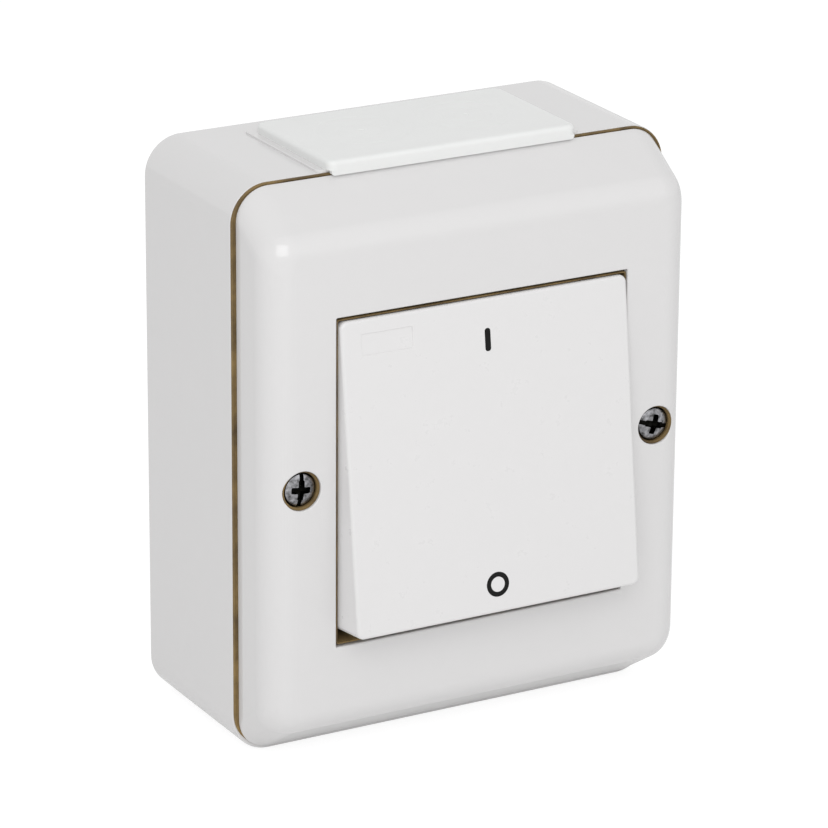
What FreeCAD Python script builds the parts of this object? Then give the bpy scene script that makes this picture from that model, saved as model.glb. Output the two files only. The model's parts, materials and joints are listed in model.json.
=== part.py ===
import FreeCAD, Part
import math
import os
import re
import Sketcher

# Outdoor rocker switch in a two-part moulded wall box.
# X is right, Y goes into the wall, Z is up. The origin is the centre of the back face.
# A depth is a distance from the wall towards the front, so a point at depth d has y = -d.
# Lengths are millimetres and angles are degrees.

sizes = {
    # box
    "box_width": 82.2,
    "box_height": 100.0,
    "box_depth": 31.7,
    "corner_round": 6.65,
    "box_wall": 2.4,
    "box_floor": 2.5,
    "back_round": 0.6,
    "fixing_spacing_x": 60.0,
    "fixing_spacing_z": 80.0,
    "fixing_hole": 2.5,
    "fixing_boss": 4.5,
    "fixing_boss_rise": 1.5,
    # front cover
    "cover_depth": 11.44,
    "cover_side_inset": 0.9,
    "cover_end_inset": 0.55,
    "cover_wall": 2.4,
    "slant_drop": 7.15,
    "front_round": 5.0,
    "opening_round": 0.25,
    "opening_edge": 0.3,
    "collar_wall": 1.5,
    # seam and its gasket
    "seam_gap": 0.3,
    "gasket_inset": 0.12,
    "groove_inset": 1.15,
    "groove_width": 0.9,
    "groove_depth": 1.0,
    "groove_play": 0.05,
    # cable entry plate
    "entry_width": 47.0,
    "entry_back": 6.5,
    "entry_overhang": 1.3,
    "entry_lip_gap": 0.1,
    "entry_proud": 2.0,
    "entry_round": 1.5,
    "entry_edge": 0.8,
    "entry_seat_rise": 0.35,
    "entry_seat_lip": 1.4,
    "entry_lap": 2.5,
    "entry_flange": 1.5,
    "entry_skin": 1.0,
    "membrane_spacing": 19.9,
    "membrane_radius": 7.6,
    "membrane_ring": 8.3,
    "membrane_inner_ring": 4.6,
    "ring_width": 0.6,
    "ring_groove": 0.2,
    # cover screws
    "screw_spacing": 67.9,
    "well_radius": 3.6,
    "well_edge": 0.3,
    "head_radius": 3.05,
    "head_sink": 0.85,
    "head_thick": 2.1,
    "washer_thick": 0.8,
    "washer_radius": 3.3,
    "shank_radius": 1.75,
    "shank_length": 22.0,
    "screw_boss": 4.6,
    "screw_post": 4.0,
    "thread_play": 0.05,
    "boss_hole": 2.1,
    "post_gap": 0.3,
    "post_spare": 5.0,
    "rib_thick": 2.4,
    "rib_drop": 3.0,
    "head_dome": 6.7,
    "recess_width": 0.85,
    "recess_slot_length": 5.8,
    "recess_slot_depth": 1.0,
    "recess_cross_length": 4.0,
    "recess_cross_depth": 1.3,
    "recess_core": 0.75,
    "recess_core_depth": 1.6,
    "turn_left": 78.0,
    "turn_right": 12.0,
    # rocker
    "rocker_width": 54.4,
    "rocker_height": 53.9,
    "rocker_reach": 12.0,
    "rocker_skirt": 10.0,
    "rocker_face": 2.0,
    "rocker_wall": 1.8,
    "rocker_round": 1.3,
    "rocker_edge": 0.6,
    "rocker_inside_round": 0.3,
    "rocker_tilt": 6.95,
    "rocker_side_gap": 0.45,
    "rocker_end_gap": 0.65,
    "axle_setback": 8.29,
    "clip_wall": 1.2,
    "clip_height": 16.0,
    "clip_length": 6.5,
    "mark_depth": 0.25,
    "on_mark_width": 1.1,
    "on_mark_height": 3.95,
    "on_mark_rise": 19.95,
    "off_mark_radius": 2.15,
    "off_mark_stroke": 0.85,
    "off_mark_drop": 22.0,
    "off_mark_x": -0.4,
    "field_width": 9.5,
    "field_height": 3.6,
    "field_left": 23.5,
    "field_rise": 22.6,
    "field_depth": 0.15,
    # cradle, axle and bearing frame
    "axle_radius": 1.0,
    "axle_play": 0.05,
    "hub_radius": 2.8,
    "web_thick": 2.5,
    "cradle_width": 37.0,
    "cradle_height": 28.0,
    "cradle_plate": 2.0,
    "ear_thick": 2.5,
    "ear_round": 3.0,
    "side_play": 0.35,
    "frame_thick": 2.5,
    "seal_thick": 1.2,
    "axle_rise": 6.95,
    "lip_wall": 0.9,
    "lip_height": 1.6,
    "moving_gap": 0.35,
    # spring plungers
    "pole_spacing": 24.0,
    "stem_radius": 3.0,
    "stem_length": 13.0,
    "stem_root": 3.4,
    "plunger_radius": 1.9,
    "plunger_play": 0.1,
    "plunger_reach": 18.0,
    "plunger_length": 8.0,
    "wire_radius": 0.22,
    "coil_radius": 1.5,
    "coil_count": 5,
    # contacts
    "bridge_thick": 1.2,
    "bridge_width": 5.6,
    "contact_arm": 9.5,
    "contact_radius": 1.5,
    "contact_thick": 1.0,
    "rivet_radius": 0.8,
    "contact_gap": 0.25,
    "bridge_gap": 0.3,
    "knife_radius": 0.6,
    "knife_gap": 0.05,
    "lug_thick": 0.6,
    "lug_offset": 1.0,
    "strip_thick": 1.2,
    "strip_width": 5.2,
    "strip_end": 35.5,
    # switch base
    "base_depth": 15.25,
    "base_floor": 2.0,
    "base_width": 54.0,
    "base_height": 56.0,
    "chamber_width": 11.0,
    "end_wall": 3.0,
    "platform_width": 37.0,
    "platform_length": 9.5,
    "platform_depth": 8.75,
    "bay_wall": 0.6,
    "slot_play": 0.05,
    "pad_radius": 3.0,
    "base_post": 4.0,
    "pad_spacing_x": 44.0,
    "pad_spacing_z": 40.0,
    "pad_hole": 1.75,
    # terminals
    "clamp_width": 8.4,
    "clamp_length": 7.0,
    "clamp_depth": 7.7,
    "clamp_wall": 1.1,
    "clamp_front": 2.4,
    "clamp_play": 0.3,
    "clamp_setin": 1.2,
    "terminal_shank": 1.5,
    "terminal_shank_length": 4.7,
    "terminal_head": 2.3,
    "terminal_head_thick": 1.8,
    "slot_width": 0.7,
    "slot_depth": 0.9,
    "slot_turn": 35.0,
    "earth_wall_gap": 2.2,
    "earth_z": 20.0,
    "earth_block": 8.0,
    "earth_seat": 6.0,
    # small fixing screws
    "base_screw_head": 3.3,
    "base_screw_thick": 1.9,
    "base_screw_shank": 1.7,
    "base_screw_rest": 1.25,
    "frame_screw_head": 2.4,
    "frame_screw_thick": 1.3,
    "frame_screw_shank": 1.2,
    "frame_screw_length": 8.0,
    "frame_screw_x": 47.0,
    "frame_screw_z": 50.0,
    # how far a cutter runs past the face that it opens
    "past_face": 1.0,
}

# Sizes that follow from the ones above.
worked_out = {
    "cover_rear": "box_depth + seam_gap",
    "cover_face": "cover_rear + cover_depth",
    "cover_width": "box_width - 2 * cover_side_inset",
    "cover_height": "box_height - 2 * cover_end_inset",
    "cover_corner": "corner_round - cover_side_inset",
    "slant_wall": "cover_wall / cos(atan(slant_drop / cover_depth))",
    "inner_depth": "cover_depth - cover_wall",
    "edge_round": "min(front_round; 0.9 * cover_corner)",
    "opening_width": "rocker_width + 2 * rocker_side_gap",
    "corner_swing": "rocker_height / 2 * cos(rocker_tilt) + rocker_reach * sin(rocker_tilt)",
    "opening_height": "2 * (corner_swing + rocker_end_gap)",
    "collar_width": "opening_width + 2 * collar_wall",
    "collar_height": "opening_height + 2 * collar_wall",
    "axle_depth": "cover_face - axle_setback",
    "seal_front": "axle_depth - axle_rise",
    "seal_rear": "seal_front - seal_thick",
    "frame_rear": "seal_rear - frame_thick",
    "base_seat": "frame_rear - base_depth",
    "pole_x": "pole_spacing / 2",
    "strip_rear": "base_seat + base_floor",
    "strip_front": "strip_rear + strip_thick",
    "plunger_tip": "axle_depth - plunger_reach",
    "knife_depth": "plunger_tip - bridge_gap - bridge_thick",
    "contact_swing": "contact_thick * cos(rocker_tilt) + (contact_arm + contact_radius) * sin(rocker_tilt)",
    "fixed_contact_front": "knife_depth - contact_swing - contact_gap",
    "platform_front": "base_seat + platform_depth",
    "clamp_rear": "strip_rear - clamp_wall",
    "clamp_front_face": "clamp_rear + clamp_depth",
    "clamp_start": "base_height / 2 + clamp_setin",
    "clamp_centre": "clamp_start + clamp_length / 2",
    "base_screw_z": "base_height / 2 + platform_length / 2",
    "base_screw_tip": "box_floor + base_screw_rest",
    "earth_x": "box_width / 2 - box_wall - earth_wall_gap - earth_block / 2",
    "head_top": "cover_face - head_sink",
    "head_under": "head_top - head_thick",
    "well_floor": "head_under - washer_thick",
    "shank_tip": "head_under - shank_length",
    "entry_front": "box_depth + entry_overhang",
    "entry_lip_low": "cover_height / 2 + entry_lip_gap",
    "entry_length": "entry_front - entry_back",
    "entry_centre": "(entry_front + entry_back) / 2",
    "entry_seat": "box_height / 2 + entry_seat_rise",
    "entry_top": "box_height / 2 + entry_proud",
    "notch_width": "entry_width - 2 * entry_lap",
    "notch_back": "entry_back + entry_lap",
    "wall_inside": "box_height / 2 - box_wall",
    "membrane_depth": "(entry_back + box_depth) / 2",
    "ear_inside": "cradle_width / 2 + side_play",
    "ear_outside": "ear_inside + ear_thick",
    "stem_swing": "stem_length * sin(rocker_tilt)",
    "coil_rear": "plunger_reach - plunger_length",
    "coil_height": "coil_rear - stem_root - 2 * wire_radius",
}

parts_folder = "parts"
doc = FreeCAD.newDocument("outdoor_switch")
sheet = doc.addObject("Spreadsheet::Sheet", "Sizes")
for row, (alias, value) in enumerate(sizes.items(), start=1):
    sheet.set("A%d" % row, alias)
    sheet.set("B%d" % row, str(value))
    sheet.setAlias("B%d" % row, alias)
for row, (alias, formula) in enumerate(worked_out.items(), start=len(sizes) + 1):
    sheet.set("A%d" % row, alias)
    sheet.set("B%d" % row, "=" + formula)
    sheet.setAlias("B%d" % row, alias)
doc.recompute()
names = set(sizes) | set(worked_out)

tiny = 0.01
runs_per_turn = 12
mitred = 1
front = FreeCAD.Vector(0, 0, 1)
along_x = FreeCAD.Vector(1, 0, 0)
along_y = FreeCAD.Vector(0, 1, 0)


# Binding to the sheet

def bound(formula):
    """Formula as an expression on the sheet's cells."""
    return re.sub(r"[a-z_]+", lambda word: "Sizes." + word.group() if word.group() in names else word.group(),
                  str(formula))


def number(formula):
    """Present value of a formula."""
    return float(sheet.evalExpression(str(formula)))


def place(item, x="0", depth="0", z="0", turn_axis=None, turn="0"):
    """Bind an object's place, and its turn about an axis."""
    if turn_axis is not None:
        item.Placement = FreeCAD.Placement(FreeCAD.Vector(), FreeCAD.Rotation(turn_axis, 1))
        item.setExpression("Placement.Rotation.Angle", bound(turn))
    item.setExpression("Placement.Base.x", bound(x))
    item.setExpression("Placement.Base.y", bound("-(%s)" % depth))
    item.setExpression("Placement.Base.z", bound(z))
    return item


# Solids from primitives; spans are pairs of formulas

def block(name, x, depth, z):
    solid = doc.addObject("Part::Box", name)
    for side, span in (("Length", x), ("Width", depth), ("Height", z)):
        solid.setExpression(side, bound("(%s) - (%s)" % (span[1], span[0])))
    return place(solid, x[0], depth[1], z[0])


def rod(name, axis, radius, x="0", depth="0", z="0"):
    """Cylinder along x, depth or z, where that axis is given as a span."""
    spans = {"x": x, "depth": depth, "z": z}
    start, end = spans[axis]
    solid = doc.addObject("Part::Cylinder", name)
    solid.setExpression("Radius", bound(radius))
    solid.setExpression("Height", bound("(%s) - (%s)" % (end, start)))
    spans[axis] = start
    turns = {"x": (along_y, "90"), "depth": (along_x, "90"), "z": (None, "0")}
    turn_axis, turn = turns[axis]
    return place(solid, spans["x"], spans["depth"], spans["z"], turn_axis, turn)


def fused(name, solids):
    item = doc.addObject("Part::MultiFuse", name)
    item.Shapes = solids
    return item


def cut(name, base, tools):
    item = doc.addObject("Part::Cut", name)
    item.Base = base
    item.Tool = tools[0] if len(tools) == 1 else fused(name + "_tools", tools)
    return item


def group(name, solids):
    """Separate like solids kept under one name."""
    item = doc.addObject("Part::Compound", name)
    item.Links = solids
    return item


# Sketches and the features made from them

def new_sketch(body, level, role="XZ_Plane"):
    """Sketch on a plane of the body, moved out by the level: towards the front on XZ, up on XY."""
    sketch = body.newObject("Sketcher::SketchObject", body.Name + "_sketch")
    plane = [item for item in body.Origin.OriginFeatures if item.Role == role][0]
    sketch.AttachmentSupport = [(plane, "")]
    sketch.MapMode = "FlatFace"
    sketch.setExpression("AttachmentOffset.Base.z", bound(level))
    return sketch


def hold(sketch, kind, places, formula):
    """Bind one dimension of a sketch to a formula."""
    index = sketch.addConstraint(Sketcher.Constraint(kind, *places, number(formula)))
    sketch.setExpression("Constraints[%d]" % index, bound(formula))


def circle(sketch, radius, x="0", z="0"):
    centre = FreeCAD.Vector(number(x), number(z), 0)
    index = sketch.addGeometry(Part.Circle(centre, front, number(radius)))
    hold(sketch, "Radius", (index,), radius)
    hold(sketch, "DistanceX", (-1, 1, index, 3), x)
    hold(sketch, "DistanceY", (-1, 1, index, 3), z)


def rectangle(sketch, x, z):
    """Sharp rectangle from spans in the sketch's own two directions."""
    low, high = (number(x[0]), number(z[0])), (number(x[1]), number(z[1]))
    corners = [low, (high[0], low[1]), high, (low[0], high[1])]
    points = [FreeCAD.Vector(u, v, 0) for u, v in corners]
    first = sketch.GeometryCount
    for index in range(4):
        sketch.addGeometry(Part.LineSegment(points[index], points[(index + 1) % 4]))
    for index in range(4):
        joint = (first + index, 2, first + (index + 1) % 4, 1)
        sketch.addConstraint(Sketcher.Constraint("Coincident", *joint))
        direction = "Horizontal" if index % 2 == 0 else "Vertical"
        sketch.addConstraint(Sketcher.Constraint(direction, first + index))
    hold(sketch, "DistanceX", (-1, 1, first, 1), x[0])
    hold(sketch, "DistanceY", (-1, 1, first, 1), z[0])
    hold(sketch, "DistanceX", (-1, 1, first + 2, 1), x[1])
    hold(sketch, "DistanceY", (-1, 1, first + 2, 1), z[1])


def rounded_rectangle(sketch, width, height, radius, x="0", z="0"):
    """Rectangle with four equal corner arcs, given by its size and centre."""
    half_width, half_height, round_now = number(width) / 2, number(height) / 2, number(radius)
    quarters = [(1, 1), (-1, 1), (-1, -1), (1, -1)]
    first = sketch.GeometryCount
    arcs = []
    for index, (side, rise) in enumerate(quarters):
        centre = FreeCAD.Vector(number(x) + side * (half_width - round_now),
                                number(z) + rise * (half_height - round_now), 0)
        start = index * math.pi / 2
        arc = Part.ArcOfCircle(Part.Circle(centre, front, round_now), start, start + math.pi / 2)
        arcs.append(arc)
        sketch.addGeometry(arc)
    for index in range(4):
        sketch.addGeometry(Part.LineSegment(arcs[index].EndPoint, arcs[(index + 1) % 4].StartPoint))
    for index in range(4):
        line = first + 4 + index
        sketch.addConstraint(Sketcher.Constraint("Tangent", first + index, 2, line, 1))
        sketch.addConstraint(Sketcher.Constraint("Tangent", line, 2, first + (index + 1) % 4, 1))
        direction = "Horizontal" if index % 2 == 0 else "Vertical"
        sketch.addConstraint(Sketcher.Constraint(direction, line))
    for index in range(1, 4):
        sketch.addConstraint(Sketcher.Constraint("Equal", first, first + index))
    hold(sketch, "Radius", (first,), radius)
    left, bottom, right, top = first + 5, first + 6, first + 7, first + 4
    hold(sketch, "DistanceX", (-1, 1, left, 1), "%s - (%s) / 2" % (x, width))
    hold(sketch, "DistanceX", (-1, 1, right, 1), "%s + (%s) / 2" % (x, width))
    hold(sketch, "DistanceY", (-1, 1, bottom, 1), "%s - (%s) / 2" % (z, height))
    hold(sketch, "DistanceY", (-1, 1, top, 1), "%s + (%s) / 2" % (z, height))


def pad(body, sketch, length, down=False):
    feature = body.newObject("PartDesign::Pad", body.Name + "_pad")
    feature.Profile = sketch
    feature.Reversed = down
    feature.setExpression("Length", bound(length))
    return feature


def pocket(body, sketch, length, up=False):
    """Cut towards the wall from an XZ sketch, or downwards from an XY one, unless up is set."""
    feature = body.newObject("PartDesign::Pocket", body.Name + "_pocket")
    feature.Profile = sketch
    feature.Reversed = up
    feature.setExpression("Length", bound(length))
    return feature


def loft(body, kind, sketches):
    feature = body.newObject("PartDesign::" + kind, body.Name + "_loft")
    feature.Profile = sketches[0]
    feature.Sections = sketches[1:]
    feature.Ruled = True
    return feature


def fillet(body, feature, radius, wanted):
    """Round the edges whose every sample point passes the test."""
    doc.recompute()
    chosen = []
    for index, edge in enumerate(feature.Shape.Edges, start=1):
        if all(wanted(point) for point in edge.discretize(5)):
            chosen.append("Edge%d" % index)
    rounded = body.newObject("PartDesign::Fillet", body.Name + "_fillet")
    rounded.Base = (feature, chosen)
    rounded.setExpression("Radius", bound(radius))
    return rounded


def near(a, b):
    return abs(a - b) < tiny


def new_body(name):
    return doc.addObject("PartDesign::Body", name)


def box_outline(sketch, inset="0"):
    """Outline of the box, stepped in by the inset."""
    rounded_rectangle(sketch, "box_width - 2 * (%s)" % inset, "box_height - 2 * (%s)" % inset,
                      "corner_round - (%s)" % inset)


def groove_outline(sketch, play="0"):
    """Band that the gasket's tongue lies in, along the middle of the box's rim."""
    box_outline(sketch, "groove_inset + %s" % play)
    box_outline(sketch, "groove_inset + groove_width - %s" % play)


four_ways = [(side, rise) for side in ("", "-") for rise in ("", "-")]


# Housing

def make_rear_box():
    body = new_body("rear_box")
    outline = new_sketch(body, "0")
    box_outline(outline)
    outer = pad(body, outline, "box_depth")
    back = fillet(body, outer, "back_round", lambda point: near(point.y, 0))
    cavity = new_sketch(body, "box_depth")
    box_outline(cavity, "box_wall")
    pocket(body, cavity, "box_depth - box_floor")

    # posts for the cover screws, each tied to the side wall by a rib
    posts = new_sketch(body, "box_floor")
    for side in ("", "-"):
        circle(posts, "screw_post", side + "screw_spacing / 2")
    pad(body, posts, "box_depth - box_floor")
    for side in (1, -1):
        rib = new_sketch(body, "box_floor")
        ends = ["%d * screw_spacing / 2" % side, "%d * (box_width - box_wall) / 2" % side]
        rectangle(rib, ends[::side], ("-rib_thick / 2", "rib_thick / 2"))
        pad(body, rib, "box_depth - box_floor - rib_drop")
    post_holes = new_sketch(body, "box_depth")
    for side in ("", "-"):
        circle(post_holes, "shank_radius + thread_play", side + "screw_spacing / 2")
    pocket(body, post_holes, "box_depth - shank_tip + post_spare")

    # posts and pads that the switch base sits on
    seats = new_sketch(body, "box_floor")
    for rise in ("", "-"):
        circle(seats, "base_post", "0", rise + "base_screw_z")
    for side, rise in four_ways:
        circle(seats, "pad_radius", side + "pad_spacing_x / 2", rise + "pad_spacing_z / 2")
    pad(body, seats, "base_seat - box_floor")
    seat_holes = new_sketch(body, "base_seat")
    for rise in ("", "-"):
        circle(seat_holes, "pad_hole", "0", rise + "base_screw_z")
    pocket(body, seat_holes, "base_seat - box_floor")

    # seat of the earth terminal
    earth = new_sketch(body, "box_floor")
    rectangle(earth, ("earth_x - earth_block / 2", "earth_x + earth_block / 2"),
              ("earth_z - earth_block / 2", "earth_z + earth_block / 2"))
    pad(body, earth, "earth_seat - box_floor")

    # raised rings round the holes for the wall screws
    rings = new_sketch(body, "box_floor")
    for side, rise in four_ways:
        circle(rings, "fixing_boss", side + "fixing_spacing_x / 2", rise + "fixing_spacing_z / 2")
    pad(body, rings, "fixing_boss_rise")
    holes = new_sketch(body, "box_floor + fixing_boss_rise")
    for side, rise in four_ways:
        circle(holes, "fixing_hole", side + "fixing_spacing_x / 2", rise + "fixing_spacing_z / 2")
    pocket(body, holes, "box_floor + fixing_boss_rise")

    # shallow seat and notch for the cable entry plate
    seat = new_sketch(body, "box_height / 2 - box_wall / 2", "XY_Plane")
    seat_back = "-(entry_back - entry_seat_lip)"
    rectangle(seat, ("-entry_width / 2 - entry_seat_lip", "entry_width / 2 + entry_seat_lip"),
              ("-box_depth", seat_back))
    pad(body, seat, "entry_seat_rise + box_wall / 2")
    notch = new_sketch(body, "entry_seat", "XY_Plane")
    rectangle(notch, ("-notch_width / 2", "notch_width / 2"), ("-box_depth", "-notch_back"))
    pocket(body, notch, "box_wall + entry_seat_rise")

    groove = new_sketch(body, "box_depth")
    groove_outline(groove)
    pocket(body, groove, "groove_depth")
    return body


def make_cable_entry_plate():
    body = new_body("cable_entry_plate")
    flange = new_sketch(body, "entry_seat", "XY_Plane")
    rounded_rectangle(flange, "entry_width", "entry_length", "entry_round", "0", "-entry_centre")
    outer = pad(body, flange, "entry_top - entry_seat")
    top = number("entry_top")
    fillet(body, outer, "entry_edge", lambda point: near(point.z, top))

    # neck through the notch, then the flange inside the wall
    neck = new_sketch(body, "wall_inside", "XY_Plane")
    rectangle(neck, ("-notch_width / 2 + slot_play", "notch_width / 2 - slot_play"),
              ("-box_depth", "-notch_back - slot_play"))
    pad(body, neck, "entry_seat - wall_inside + entry_edge / 2")
    inside = new_sketch(body, "wall_inside", "XY_Plane")
    rectangle(inside, ("-entry_width / 2", "entry_width / 2"), ("-box_depth", "-entry_back"))
    pad(body, inside, "entry_flange", down=True)

    # lip over the seam, down to the slant of the cover
    lip = new_sketch(body, "entry_lip_low", "XY_Plane")
    rectangle(lip, ("-entry_width / 2 + entry_round", "entry_width / 2 - entry_round"),
              ("-entry_front", "-cover_rear - slot_play"))
    pad(body, lip, "entry_seat - entry_lip_low + entry_edge / 2")

    # two thin membranes to be pierced, with moulded rings on their outer side
    for side in ("", "-"):
        hollow = new_sketch(body, "entry_top - entry_skin", "XY_Plane")
        circle(hollow, "membrane_radius", side + "membrane_spacing / 2", "-membrane_depth")
        pocket(body, hollow, "box_wall + entry_flange + entry_proud")
        for radius in ("membrane_ring", "membrane_inner_ring"):
            ring = new_sketch(body, "entry_top", "XY_Plane")
            circle(ring, radius, side + "membrane_spacing / 2", "-membrane_depth")
            circle(ring, radius + " - ring_width", side + "membrane_spacing / 2", "-membrane_depth")
            pocket(body, ring, "ring_groove")

    groove = new_sketch(body, "box_depth")
    groove_outline(groove)
    pocket(body, groove, "groove_depth")
    return body


def make_box_gasket():
    body = new_body("box_gasket")
    band = new_sketch(body, "box_depth")
    box_outline(band, "gasket_inset")
    box_outline(band, "box_wall")
    pad(body, band, "seam_gap")
    tongue = new_sketch(body, "box_depth")
    groove_outline(tongue, "groove_play")
    pad(body, tongue, "groove_depth - groove_play", down=True)
    return body


def make_front_cover():
    body = new_body("front_cover")
    rim = new_sketch(body, "cover_rear")
    rounded_rectangle(rim, "cover_width", "cover_height", "cover_corner")
    face = new_sketch(body, "cover_face")
    rounded_rectangle(face, "cover_width", "cover_height - 2 * slant_drop", "cover_corner")
    outer = loft(body, "AdditiveLoft", [rim, face])
    cover_face = number("cover_face")
    fillet(body, outer, "edge_round", lambda point: near(point.y, -cover_face))

    # hollow with an even wall under the slants
    inner_rim = new_sketch(body, "cover_rear")
    rounded_rectangle(inner_rim, "cover_width - 2 * cover_wall", "cover_height - 2 * slant_wall",
                      "cover_corner - cover_wall")
    inner_face = new_sketch(body, "cover_face - cover_wall")
    inner_drop = "slant_drop * inner_depth / cover_depth + slant_wall"
    rounded_rectangle(inner_face, "cover_width - 2 * cover_wall", "cover_height - 2 * (%s)" % inner_drop,
                      "cover_corner - cover_wall")
    loft(body, "SubtractiveLoft", [inner_rim, inner_face])

    # collar that presses the rocker seal, and bosses for the two screws
    collar = new_sketch(body, "seal_front")
    rounded_rectangle(collar, "collar_width", "collar_height", "opening_round + collar_wall")
    pad(body, collar, "cover_face - cover_wall / 2 - seal_front")
    for side in ("", "-"):
        boss = new_sketch(body, "box_depth + post_gap")
        circle(boss, "screw_boss", side + "screw_spacing / 2")
        pad(body, boss, "cover_face - cover_wall - box_depth - post_gap")

    opening = new_sketch(body, "cover_face")
    rounded_rectangle(opening, "opening_width", "opening_height", "opening_round")
    pocket(body, opening, "cover_face - seal_front")
    wells = new_sketch(body, "cover_face")
    for side in ("", "-"):
        circle(wells, "well_radius", side + "screw_spacing / 2")
    pocket(body, wells, "cover_face - well_floor")
    holes = new_sketch(body, "well_floor")
    for side in ("", "-"):
        circle(holes, "boss_hole", side + "screw_spacing / 2")
    last = pocket(body, holes, "well_floor - box_depth")
    half_width, half_height = number("opening_width") / 2 + tiny, number("opening_height") / 2 + tiny
    opened = fillet(body, last, "opening_edge", lambda point: near(point.y, -cover_face)
                    and abs(point.x) < half_width and abs(point.z) < half_height)
    screw_x, well_radius = number("screw_spacing / 2"), number("well_radius")
    well_middle = -number("head_under")
    fillet(body, opened, "well_edge", lambda point: point.y < well_middle
           and near(math.hypot(abs(point.x) - screw_x, point.z), well_radius))
    return body


# Screws

def slot(name, turn, width, length, depth, x, top, z):
    """Bar to be cut from a screw head, turned about the screw's axis."""
    bar = block(name, ("-(%s) / 2" % length, "(%s) / 2" % length), ("-(%s)" % depth, "past_face"),
                ("-(%s) / 2" % width, "(%s) / 2" % width))
    holder = group(name + "_turned", [bar])
    return place(holder, x, top, z, along_y, turn)


def combi_screw(name, x, turn):
    """Cover screw with a cross recess and a slot in its domed head."""
    dome = doc.addObject("Part::Sphere", name + "_dome")
    dome.setExpression("Radius", bound("head_dome"))
    place(dome, x, "head_top - head_dome", "0")
    barrel = rod(name + "_barrel", "depth", "head_radius", x, ("head_under", "head_top"), "0")
    head = doc.addObject("Part::MultiCommon", name + "_head")
    head.Shapes = [dome, barrel]
    shank = rod(name + "_shank", "depth", "shank_radius", x, ("shank_tip", "head_under"), "0")
    whole = fused(name + "_whole", [head, shank])
    recess = [slot(name + "_bar", turn, "recess_width", "recess_slot_length", "recess_slot_depth",
                   x, "head_top", "0"),
              slot(name + "_cross", turn + " + 90", "recess_width", "recess_cross_length",
                   "recess_cross_depth", x, "head_top", "0"),
              rod(name + "_core", "depth", "recess_core", x, ("head_top - recess_core_depth", "head_top"))]
    return cut(name, whole, recess)


def plain_screw(name, head, head_thick, shank, length, x, seat, z):
    """Cheese-head screw with one slot, its head sitting on the seat."""
    top = "%s + %s" % (seat, head_thick)
    whole = fused(name + "_whole", [
        rod(name + "_head", "depth", head, x, (seat, top), z),
        rod(name + "_shank", "depth", shank, x, ("%s - (%s)" % (seat, length), seat), z)])
    across = "2 * %s + 2 * past_face" % head
    groove = slot(name + "_slot", "slot_turn", "slot_width", across, "slot_depth", x, top, z)
    return cut(name, whole, [groove])


def make_cover_screws():
    screws = [combi_screw("cover_screw_left", "-screw_spacing / 2", "turn_left"),
              combi_screw("cover_screw_right", "screw_spacing / 2", "turn_right")]
    washers = []
    for side in ("", "-"):
        x = side + "screw_spacing / 2"
        span = ("well_floor", "well_floor + washer_thick")
        ring = rod("washer_ring", "depth", "washer_radius", x, span, "0")
        hole = rod("washer_hole", "depth", "shank_radius + thread_play", x, span, "0")
        washers.append(cut("washer", ring, [hole]))
    return [group("cover_screws", screws), group("cover_screw_seals", washers)]


# Rocker and what turns with it, modelled upright about the axle, then tilted

def tilted(item):
    """Rest position of the rocker: top pressed in."""
    return place(item, "0", "axle_depth", "0", along_x, "-rocker_tilt")


def make_rocker():
    body = new_body("rocker")
    back = new_sketch(body, "rocker_reach - rocker_skirt")
    rounded_rectangle(back, "rocker_width", "rocker_height", "rocker_round")
    outer = pad(body, back, "rocker_skirt")
    reach = number("rocker_reach")
    fillet(body, outer, "rocker_edge", lambda point: near(point.y, -reach))
    inside = new_sketch(body, "rocker_reach - rocker_face")
    rounded_rectangle(inside, "rocker_width - 2 * rocker_wall", "rocker_height - 2 * rocker_wall",
                      "rocker_inside_round")
    pocket(body, inside, "rocker_skirt")
    for side in (1, -1):
        clip = new_sketch(body, "rocker_reach - rocker_face - clip_length")
        ends = ["%d * (cradle_width / 2 + slot_play)" % side,
                "%d * (cradle_width / 2 + slot_play + clip_wall)" % side]
        rectangle(clip, ends[::side], ("-clip_height / 2", "clip_height / 2"))
        pad(body, clip, "clip_length + rocker_face / 2")

    # bare shallow field at the top left, and seats of the two marks
    field = new_sketch(body, "rocker_reach")
    rectangle(field, ("-field_left", "-field_left + field_width"),
              ("field_rise - field_height / 2", "field_rise + field_height / 2"))
    pocket(body, field, "field_depth")
    seats = new_sketch(body, "rocker_reach")
    rectangle(seats, ("-on_mark_width / 2", "on_mark_width / 2"),
              ("on_mark_rise - on_mark_height / 2", "on_mark_rise + on_mark_height / 2"))
    circle(seats, "off_mark_radius", "off_mark_x", "-off_mark_drop")
    circle(seats, "off_mark_radius - off_mark_stroke", "off_mark_x", "-off_mark_drop")
    pocket(body, seats, "mark_depth")
    return tilted(body)


def make_rocker_marks():
    """Bar for on and ring for off, let into the face."""
    span = ("rocker_reach - mark_depth", "rocker_reach")
    bar = block("on_bar", ("-on_mark_width / 2", "on_mark_width / 2"), span,
                ("on_mark_rise - on_mark_height / 2", "on_mark_rise + on_mark_height / 2"))
    disc = rod("off_disc", "depth", "off_mark_radius", "off_mark_x", span, "-off_mark_drop")
    hole = rod("off_hole", "depth", "off_mark_radius - off_mark_stroke", "off_mark_x", span, "-off_mark_drop")
    ring = cut("off_ring", disc, [hole])
    return [tilted(group("on_mark", [bar])), tilted(group("off_mark", [ring]))]


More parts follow.
